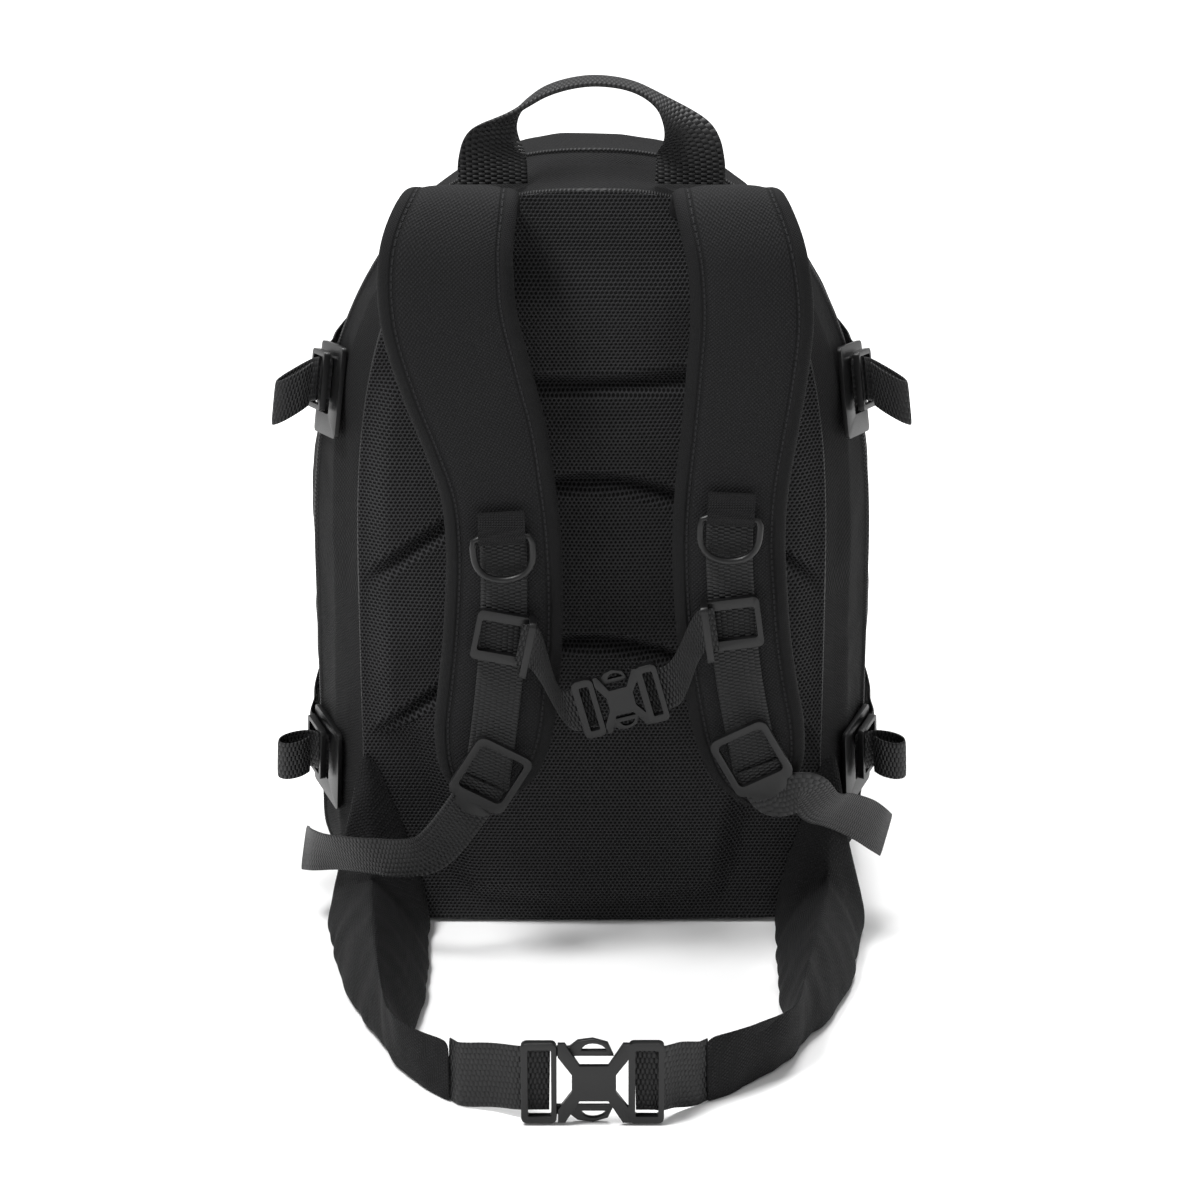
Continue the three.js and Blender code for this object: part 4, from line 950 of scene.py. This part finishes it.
@dataclass
class BagForm:
    """The bag's outer form, from the back seam to the front seam."""

    width: float = 0.315
    height: float = 0.448
    depth: float = 0.200
    crown_depth: float = 0.150
    dome_start: float = 0.446
    dome: float = 0.56
    side: float = 0.86
    rings: tuple[BagRing, ...] = (
        BagRing(0.00, 0.806, 0.9687, 2.9, 0.115, 0.004),
        BagRing(0.11, 0.910, 0.9810, 2.6, 0.135, 0.000),
        BagRing(0.24, 0.972, 0.9915, 2.4, 0.150, 0.000),
        BagRing(0.40, 1.000, 1.0000, 2.2, 0.155, 0.000),
        BagRing(0.57, 0.994, 0.9780, 2.1, 0.155, 0.000),
        BagRing(0.72, 0.970, 0.9430, 2.1, 0.150, 0.000),
        BagRing(0.87, 0.920, 0.8930, 2.2, 0.140, 0.004),
        BagRing(1.00, 0.850, 0.8450, 2.3, 0.130, 0.020),
    )

    @property
    def back(self) -> float:
        """The depth of the back seam.

        Returns:
            Its place along Y, in metres.
        """
        return -self.depth / 2

    def ring(self, share: float) -> BagRing:
        """The cross-section at a share of the depth.

        Args:
            share: 0 at the back seam, 1 at the front seam.

        Returns:
            The cross-section, between its neighbours.
        """
        shares = [r.share for r in self.rings]
        values = [float(np.interp(share, shares, [getattr(r, key) for r in self.rings]))
                  for key in ("share", "width", "top", "square", "round", "lift")]
        return BagRing(*values)

    def depth_at(self, z: float) -> float:
        """How deep the bag is at a height.

        Args:
            z: The height.

        Returns:
            The depth.
        """
        t = min(max((z / self.height - 0.2) / 0.8, 0.0), 1.0)
        return self.depth - (self.depth - self.crown_depth) * t * t * (3 - 2 * t)

    def point(self, turn: float, share: float) -> Vector:
        """A point of the skin.

        Args:
            turn: -1 at the left base edge, 0 at the crown, 1 at the right base edge.
            share: 0 at the back seam, 1 at the front seam.

        Returns:
            The point.
        """
        ring = self.ring(share)
        half = ring.width * self.width / 2
        top = ring.top * self.height
        round_by = ring.round * self.width
        lift = ring.lift * self.height
        start = self.dome_start * self.height
        a = abs(turn)
        if a <= self.dome:
            angle = (1 - a / self.dome) * math.pi / 2
            x = half * max(math.cos(angle), 0.0) ** (2 / ring.square)
            z = start + (top - start) * max(math.sin(angle), 0.0) ** (2 / ring.square)
        elif a <= self.side:
            x = half
            z = start + (round_by + lift - start) * (a - self.dome) / (self.side - self.dome)
        else:
            angle = (a - self.side) / (1 - self.side) * math.pi / 2
            x = half - round_by + round_by * math.cos(angle)
            z = lift + round_by - round_by * math.sin(angle)
        return Vector((math.copysign(x, turn), self.back + share * self.depth_at(z), z))


@dataclass
class Bag:
    """The bag's gussets, panels, zip and piping.

    The hub is the height, as a share of the bag's, that creases and piping point away from. The
    arch is the length given to a gusset's pattern round the bag, in metres.
    """

    looks: Wardrobe
    form: BagForm = field(default_factory=BagForm)
    wall: float = 1.8 * MM
    seam: float = 0.24
    hub: float = 0.45
    arch: float = 1.3

    def skin(self, name: str, start: float, end: float, rows: int) -> bpy.types.Object:
        """A gusset of the bag's cloth.

        Args:
            name: The piece's name.
            start: The share of the depth where it starts.
            end: The share where it ends.
            rows: Faces along the depth.

        Returns:
            The gusset.
        """

        def place(u: float, v: float) -> Spot:
            """A point of the piece.

            Args:
                u: Share of the way round or across.
                v: Share of the way along.

            Returns:
                The point, its UV in metres and its distance to the edge.
            """
            share = start + (end - start) * v
            turn = -1 + 2 * u
            point = self.form.point(turn, share)
            away = Vector((point.x, 0, point.z - self.hub * self.form.height)).normalized()
            ease = min(v, 1 - v) * 4
            rise = min(point.z / 0.05, 1.0)
            crease = ripple(point, 60 * MM, 2.2 * MM) + ripple(point * 1.7, 24 * MM, 0.7 * MM)
            point += away * (crease - 0.8 * MM) * min(ease, 1.0) * rise
            seam = min(v, 1 - v) * (end - start) * self.form.depth
            return point, (u * self.arch, share * self.form.depth), seam

        piece = swept(name, rows, 260, place, closed=False)
        finish_modifier(piece, "SOLIDIFY", thickness=self.wall, offset=-1.0)
        return piece

    def piping(self, name: str, share: float, radius: float, inset: float) -> bpy.types.Object:
        """A corded seam round the bag.

        Args:
            name: The piece's name.
            share: Its share of the bag's depth.
            radius: The cord's radius.
            inset: How far it sinks into the skin.

        Returns:
            The cord.
        """

        def place(u: float, v: float) -> Spot:
            """A point of the piece.

            Args:
                u: Share of the way round or across.
                v: Share of the way along.

            Returns:
                The point, its UV in metres and its distance to the edge.
            """
            turn = -0.985 + 1.97 * v
            centre = self.form.point(turn, share)
            away = Vector((centre.x, 0, centre.z - self.hub * self.form.height)).normalized()
            angle = 2 * math.pi * u
            point = centre + away * (math.cos(angle) * radius - inset)
            point.y += math.sin(angle) * radius
            return point, (u * 12 * MM, v * self.arch), 1.0

        return swept(name, 300, 10, place)

    def build(self) -> None:
        """Builds and dresses every piece of the bag."""
        rear = self.skin("rear_gusset_cloth", 0.0, self.seam - 0.003, 36)
        dress(rear, self.looks.cloth, "cloth", "rear_gusset")
        front = self.skin("front_gusset_cloth", self.seam + 0.003, 1.0, 90)
        dress(front, self.looks.cloth, "cloth", "front_gusset")
        cord = self.piping("gusset_piping", self.seam, 1.6 * MM, 0.2 * MM)
        dress(cord, self.looks.webbing, "webbing")
        plain = (("front_panel_cloth", "front_panel", self.looks.folded, "cloth"),
                 ("base_panel_cloth", "base_panel", self.looks.folded, "cloth"),
                 ("main_zip_tape", "main_zip", self.looks.tape, "zip"))
        for name, node, material, slot in plain:
            piece = copied(name, node)
            finish_modifier(piece, "SUBSURF", levels=2, render_levels=2, subdivision_type="SIMPLE")
            smooth_shade(piece, 40)
            dress(piece, material, slot, node)
        for side in Side:
            moulded(f"zip_puller_{side.word}", f"zip_pull_{side.word}", self.looks.plastic,
                    0.4 * MM)


# The harness side


@dataclass(frozen=True)
class PadRow:
    """A row of the back panel: heights as shares, how far it stands out and how wide it is."""

    middle: float
    edge: float
    pad: float
    spread: float


@dataclass
class BackPanel:
    """The padded mesh panel with its arched channels."""

    looks: Wardrobe
    form: BagForm
    width: float = 0.254
    height: float = 0.434
    rim: float = 3.6 * MM
    pad: float = 8.0 * MM
    gap: float = 0.3 * MM
    rows: tuple[PadRow, ...] = (
        PadRow(0.004, 0.008, 0.00, 0.58),
        PadRow(0.022, 0.075, 0.10, 0.60),
        PadRow(0.060, 0.110, 0.75, 0.64),
        PadRow(0.190, 0.150, 1.00, 0.70),
        PadRow(0.330, 0.205, 1.00, 0.78),
        PadRow(0.392, 0.243, 0.85, 0.86),
        PadRow(0.410, 0.259, 0.05, 1.00),
        PadRow(0.428, 0.277, 0.85, 1.00),
        PadRow(0.520, 0.365, 1.10, 1.00),
        PadRow(0.610, 0.458, 0.85, 1.00),
        PadRow(0.629, 0.478, 0.05, 1.00),
        PadRow(0.648, 0.500, 0.85, 1.00),
        PadRow(0.695, 0.620, 1.05, 1.00),
        PadRow(0.738, 0.742, 0.80, 1.00),
        PadRow(0.756, 0.790, 0.05, 1.00),
        PadRow(0.775, 0.822, 0.85, 1.00),
        PadRow(0.860, 0.872, 1.15, 1.00),
        PadRow(0.935, 0.912, 0.15, 1.00),
        PadRow(1.000, 0.945, 0.00, 1.00),
    )

    def half(self, z: float) -> float:
        """Half the panel's width at a height.

        Args:
            z: The height.

        Returns:
            The half width.
        """
        ring = self.form.ring(0)
        half = self.width / 2
        start = self.form.dome_start * self.form.height
        round_by = ring.round * self.form.width
        if z > start:
            share = min((z - start) / (self.height - start), 1.0)
            return half * (1 - share ** ring.square) ** (1 / ring.square)
        if z < round_by:
            return half - round_by + math.sqrt(round_by ** 2 - (round_by - z) ** 2)
        return half

    def place(self, u: float, v: float) -> Spot:
        """A point of the panel's face.

        Args:
            u: Share of the way across.
            v: Share of the way up the rows.

        Returns:
            The point, its UV in metres and its distance to the edge.
        """
        last = len(self.rows) - 1
        t = v * last
        i = min(int(t), last - 1)
        s = t - i
        low, high = self.rows[i], self.rows[i + 1]
        eased = s * s * (3 - 2 * s)
        middle = (low.middle + (high.middle - low.middle) * s) * self.height
        edge = (low.edge + (high.edge - low.edge) * s) * self.height
        pad = low.pad + (high.pad - low.pad) * eased
        spread = low.spread + (high.spread - low.spread) * s
        a = 2 * u - 1
        x = a * self.half(edge)
        z = edge + (middle - edge) * (1 - abs(a) ** 1.8)
        if i == last - 1:
            ring = self.form.ring(0)
            start = self.form.dome_start * self.form.height
            share = min(abs(x) / (self.width / 2), 1.0)
            crown = start + (self.height - start) * (1 - share ** ring.square) ** (1 / ring.square)
            z = z + (crown - z) * s
        side = min(max((spread - abs(a)) * 7, 0.0), 1.0)
        side = side * side * (3 - 2 * side)
        out = self.rim * 0.6 + self.pad * pad * side * (0.7 + 0.3 * (1 - a * a))
        point = Vector((x, self.form.back - self.gap - out, z))
        point.y += ripple(point, 40 * MM, 1.0 * MM) * side * min(pad, 1.0)
        return point, (x, z), (1 - abs(a)) * self.half(edge)

    def build(self) -> None:
        """Builds and dresses the panel and its corded border."""
        piece = swept("back_panel_mesh", 360, 150, self.place, closed=False)
        finish_modifier(piece, "SOLIDIFY", thickness=1.6 * MM, offset=1.0)
        dress(piece, self.looks.knit, "mesh", "harness_panel")
        border = Bag(self.looks, self.form).piping("panel_piping", 0.0, 2.2 * MM, 1.2 * MM)
        dress(border, self.looks.webbing, "webbing")


@dataclass(frozen=True)
class StrapRow:
    """A station of a shoulder strap, in the shares that the source has."""

    down: float
    aside: float
    width: float
    off: float


LEFT_ROWS = (
    StrapRow(0.034, -0.515, 0.80, 0.12),
    StrapRow(-0.008, -0.525, 0.84, 0.40),
    StrapRow(0.006, -0.550, 0.90, 0.68),
    StrapRow(0.070, -0.592, 1.00, 0.92),
    StrapRow(0.160, -0.585, 1.02, 0.97),
    StrapRow(0.260, -0.520, 1.00, 0.97),
    StrapRow(0.355, -0.445, 0.95, 0.97),
    StrapRow(0.445, -0.392, 0.88, 0.98),
    StrapRow(0.530, -0.370, 0.88, 0.99),
    StrapRow(0.620, -0.368, 0.90, 1.00),
    StrapRow(0.710, -0.378, 0.92, 1.00),
    StrapRow(0.800, -0.400, 0.93, 0.98),
    StrapRow(0.880, -0.425, 0.91, 0.95),
    StrapRow(0.950, -0.450, 0.74, 0.92),
    StrapRow(1.000, -0.465, 0.34, 0.90),
)
RIGHT_ROWS = (
    StrapRow(0.034, 0.540, 0.80, 0.12),
    StrapRow(-0.008, 0.555, 0.82, 0.40),
    StrapRow(0.006, 0.580, 0.84, 0.68),
    StrapRow(0.070, 0.635, 0.89, 0.92),
    StrapRow(0.160, 0.658, 0.92, 0.97),
    StrapRow(0.260, 0.640, 0.91, 0.97),
    StrapRow(0.355, 0.612, 0.88, 0.97),
    StrapRow(0.445, 0.585, 0.86, 0.98),
    StrapRow(0.530, 0.575, 0.86, 0.99),
    StrapRow(0.620, 0.585, 0.87, 1.00),
    StrapRow(0.710, 0.605, 0.87, 1.00),
    StrapRow(0.800, 0.640, 0.87, 0.98),
    StrapRow(0.880, 0.680, 0.85, 0.95),
    StrapRow(0.950, 0.715, 0.70, 0.92),
    StrapRow(1.000, 0.740, 0.34, 0.90),
)


@dataclass
class ShoulderStrap:
    """A padded strap with bound edges, its webbing and its hardware."""

    looks: Wardrobe
    side: Side
    panel: BackPanel
    drop: float = 0.336
    width: float = 0.070
    thick: float = 13.0 * MM
    reach: float = 0.049
    binding: float = 9.5 * MM

    def stations(self) -> list[Section]:
        """The strap's sections from the top seam to its tip.

        Returns:
            The sections, closely spaced.
        """
        rows = LEFT_ROWS if self.side is Side.LEFT else RIGHT_ROWS
        sections = []
        for row in rows:
            at = Vector((row.aside * self.panel.width / 2,
                         self.panel.form.back - row.off * self.reach,
                         self.panel.height - row.down * self.drop))
            sections.append(Section(at, Vector((1, 0, 0)), Vector(), row.width * self.width,
                                    self.thick))
        return resampled(sections, 1.7 * MM, square=True)

    def swell(self, edge: float, half: float) -> float:
        """Half the strap's thickness at a distance from its edge.

        Args:
            edge: The distance.
            half: Half the strap's width there.

        Returns:
            The half thickness.
        """
        if edge < self.binding:
            share = 1 - edge / self.binding
            rounded = 0.34 * math.sqrt(max(1 - share ** 3, 0.0))
            return self.thick * (rounded + 0.03 * math.sin(share * math.pi))
        inner = min((edge - self.binding) / max(half - self.binding, 1e-4), 1.0)
        return self.thick * (0.33 + 0.16 * math.sqrt(max(1 - (1 - inner) ** 2.4, 0.0)))

    def pad(self) -> bpy.types.Object:
        """The padded strap itself.

        Returns:
            The strap.
        """
        sections = self.stations()
        runs = running_lengths(sections)
        rear = self.panel.form.back - self.panel.rim - self.panel.gap * 2.2

        def place(u: float, v: float) -> Spot:
            """A point of the piece.

            Args:
                u: Share of the way round or across.
                v: Share of the way along.

            Returns:
                The point, its UV in metres and its distance to the edge.
            """
            index = round(v * (len(sections) - 1))
            section = sections[index]
            half = section.width / 2
            angle = 2 * math.pi * u
            x = math.cos(angle) * half
            edge = half - abs(x)
            y = math.copysign(self.swell(edge, half), math.sin(angle))
            lift = ripple(section.at + section.across * x, 45 * MM, 0.9 * MM)
            pucker = ripple(section.at + section.across * x * 0.2, 9 * MM, 0.35 * MM)
            y += lift + (pucker if edge < self.binding else 0.0)
            if abs(math.sin(angle)) < 1e-6:
                y = lift
            point = section.at + section.across * x + section.out * y
            point.y = min(point.y, rear)
            return point, (x + half, float(runs[index])), edge

        return swept(f"shoulder_pad_{self.side.word}", len(sections) - 1, 72, place)

    def build(self) -> None:
        """Builds and dresses the strap and what is on it."""
        word = self.side.word
        pad = dress(self.pad(), self.looks.strap, "cloth", f"strap_pad_{word}")
        web(f"shoulder_webbing_{word}", f"strap_webbing_{word}", self.looks.webbing, 0.15 * MM)
        tab = copied(f"sewn_tab_{word}", f"ring_tab_{word}")
        smooth_shade(tab, 40)
        dress(tab, self.looks.tape, "webbing", f"ring_tab_{word}")
        moulded(f"ring_{word}_moulded", f"d_ring_{word}", self.looks.plastic, 1.3 * MM,
                body=f"ring_{word}")
        moulded(f"clip_{word}_moulded", f"chest_clip_{word}", self.looks.plastic, 0.8 * MM)
        moulded(f"lock_{word}_moulded", f"ladder_lock_{word}", self.looks.plastic, 1.0 * MM)
        web(f"lower_strap_{word}_web", f"lower_webbing_{word}", self.looks.webbing, 0.4 * MM)


@dataclass
class ChestStrap:
    """The fastened chest strap."""

    looks: Wardrobe

    def build(self) -> None:
        """Builds and dresses the webbing and the buckle."""
        for side in Side:
            web(f"chest_web_{side.word}", f"chest_webbing_{side.word}", self.looks.webbing,
                0.2 * MM)
        for half in ("plug", "socket"):
            moulded(f"chest_{half}_moulded", f"chest_buckle_{half}", self.looks.plastic, 0.7 * MM)


@dataclass
class CarryHandle:
    """The folded webbing handle on the crown."""

    looks: Wardrobe

    def build(self) -> None:
        """Builds and dresses the handle."""
        web("handle_web", "carry_handle", self.looks.belt, 0.2 * MM)


@dataclass
class HipBelt:
    """The cloth wings, the belt webbing and the fastened buckle."""

    looks: Wardrobe
    crease: float = 1.6 * MM

    def wing(self, side: Side) -> bpy.types.Object:
        """A padded wing with soft creases.

        Args:
            side: Which of the two wings.

        Returns:
            The wing.
        """
        piece = copied(f"wing_{side.word}_cloth", f"hip_wing_{side.word}")
        finish_modifier(piece, "SUBSURF", levels=3, render_levels=3)
        normals = [vertex.normal.copy() for vertex in piece.data.vertices]
        for vertex, normal in zip(piece.data.vertices, normals):
            point = vertex.co
            slow = ripple(Vector((point.x, point.y * 2.2, point.z * 0.6)), 30 * MM, self.crease)
            fine = ripple(point, 12 * MM, self.crease * 0.3)
            vertex.co = point + normal * (slow + fine - 0.6 * MM)
            vertex.co.z = max(vertex.co.z, 0.3 * MM)
        smooth_shade(piece)
        return piece

    def build(self) -> None:
        """Builds and dresses the belt."""
        for side in Side:
            wing = dress(self.wing(side), self.looks.folded, "cloth", f"hip_wing_{side.word}")
            web(f"belt_web_{side.word}", f"hip_webbing_{side.word}", self.looks.belt, 0.3 * MM,
                tuck=2.5 * MM)
        for half in ("plug", "socket"):
            moulded(f"belt_{half}_moulded", f"hip_buckle_{half}", self.looks.plastic, 0.9 * MM)


@dataclass
class SideStraps:
    """Plates, frame buckles, straps and folded tails on both sides."""

    looks: Wardrobe

    def build(self) -> None:
        """Builds and dresses the four side straps."""
        for side in Side:
            for level in ("upper", "lower"):
                moulded(f"{level}_plate_{side.word}_moulded", f"{level}_plate_{side.word}",
                        self.looks.plastic, 0.7 * MM)
                moulded(f"{level}_buckle_{side.word}_moulded", f"{level}_buckle_{side.word}",
                        self.looks.plastic, 0.8 * MM)
                web(f"{level}_web_{side.word}", f"{level}_strap_{side.word}",
                    self.looks.webbing, 0.1 * MM)
                web(f"{level}_end_{side.word}", f"{level}_tail_{side.word}",
                    self.looks.webbing, 0.2 * MM)


@dataclass
class Studio:
    """The pale floor, the soft light and the camera."""

    target: Vector = field(default_factory=lambda: Vector((0.0045, -0.050, 0.176)))
    distance: float = 2.3
    elevation: float = 24.0
    focal: float = 122.8
    sensor: float = 36.0

    def camera(self) -> None:
        """Places the camera at the photograph's angle."""
        data = bpy.data.cameras.new("camera")
        data.lens = self.focal
        data.sensor_width = self.sensor
        data.clip_end = 20
        camera = bpy.data.objects.new("camera", data)
        bpy.context.collection.objects.link(camera)
        rise = math.radians(self.elevation)
        away = Vector((0, -math.cos(rise), math.sin(rise)))
        camera.location = self.target + away * self.distance
        camera.rotation_euler = (math.radians(90 - self.elevation), 0, 0)
        bpy.context.scene.camera = camera

    def light(self, name: str, place: Vector, size: float, power: float) -> None:
        """A square soft light that faces the pack.

        Args:
            name: The light's name.
            place: Where it hangs.
            size: Its side.
            power: Its power in watts.
        """
        data = bpy.data.lights.new(name, "AREA")
        data.shape = "SQUARE"
        data.size = size
        data.energy = power
        lamp = bpy.data.objects.new(name, data)
        bpy.context.collection.objects.link(lamp)
        lamp.location = place
        lamp.rotation_euler = (self.target - place).to_track_quat("-Z", "Y").to_euler()

    def floor(self) -> None:
        """A wide pale floor."""
        deselect()
        bpy.ops.mesh.primitive_plane_add(size=30)
        floor = bpy.context.object
        floor.name = "studio_floor"
        material = bpy.data.materials.new("pale_floor")
        material.use_nodes = True
        shader = material.node_tree.nodes["Principled BSDF"]
        shader.inputs["Base Color"].default_value = (0.92, 0.92, 0.92, 1)
        shader.inputs["Roughness"].default_value = 0.6
        floor.data.materials.append(material)

    def build(self) -> None:
        """Sets up the studio."""
        self.camera()
        self.floor()
        world = bpy.data.worlds.new("studio")
        world.use_nodes = True
        world.node_tree.nodes["Background"].inputs["Color"].default_value = (1, 1, 1, 1)
        world.node_tree.nodes["Background"].inputs["Strength"].default_value = 0.55
        bpy.context.scene.world = world
        bpy.context.scene.view_settings.view_transform = "Standard"
        self.light("key", Vector((-0.9, -0.6, 2.3)), 0.6, 60)
        self.light("top", Vector((0.3, 0.7, 2.4)), 0.8, 62)


def main() -> None:
    """Builds the daypack and its studio."""
    logging.basicConfig(level=logging.INFO, format="%(message)s")
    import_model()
    Studio().build()
    looks = Wardrobe()
    bag = Bag(looks)
    bag.build()
    panel = BackPanel(looks, bag.form)
    panel.build()
    for side in Side:
        ShoulderStrap(looks, side, panel).build()
    ChestStrap(looks).build()
    CarryHandle(looks).build()
    HipBelt(looks).build()
    SideStraps(looks).build()


if __name__ == "__main__":
    main()
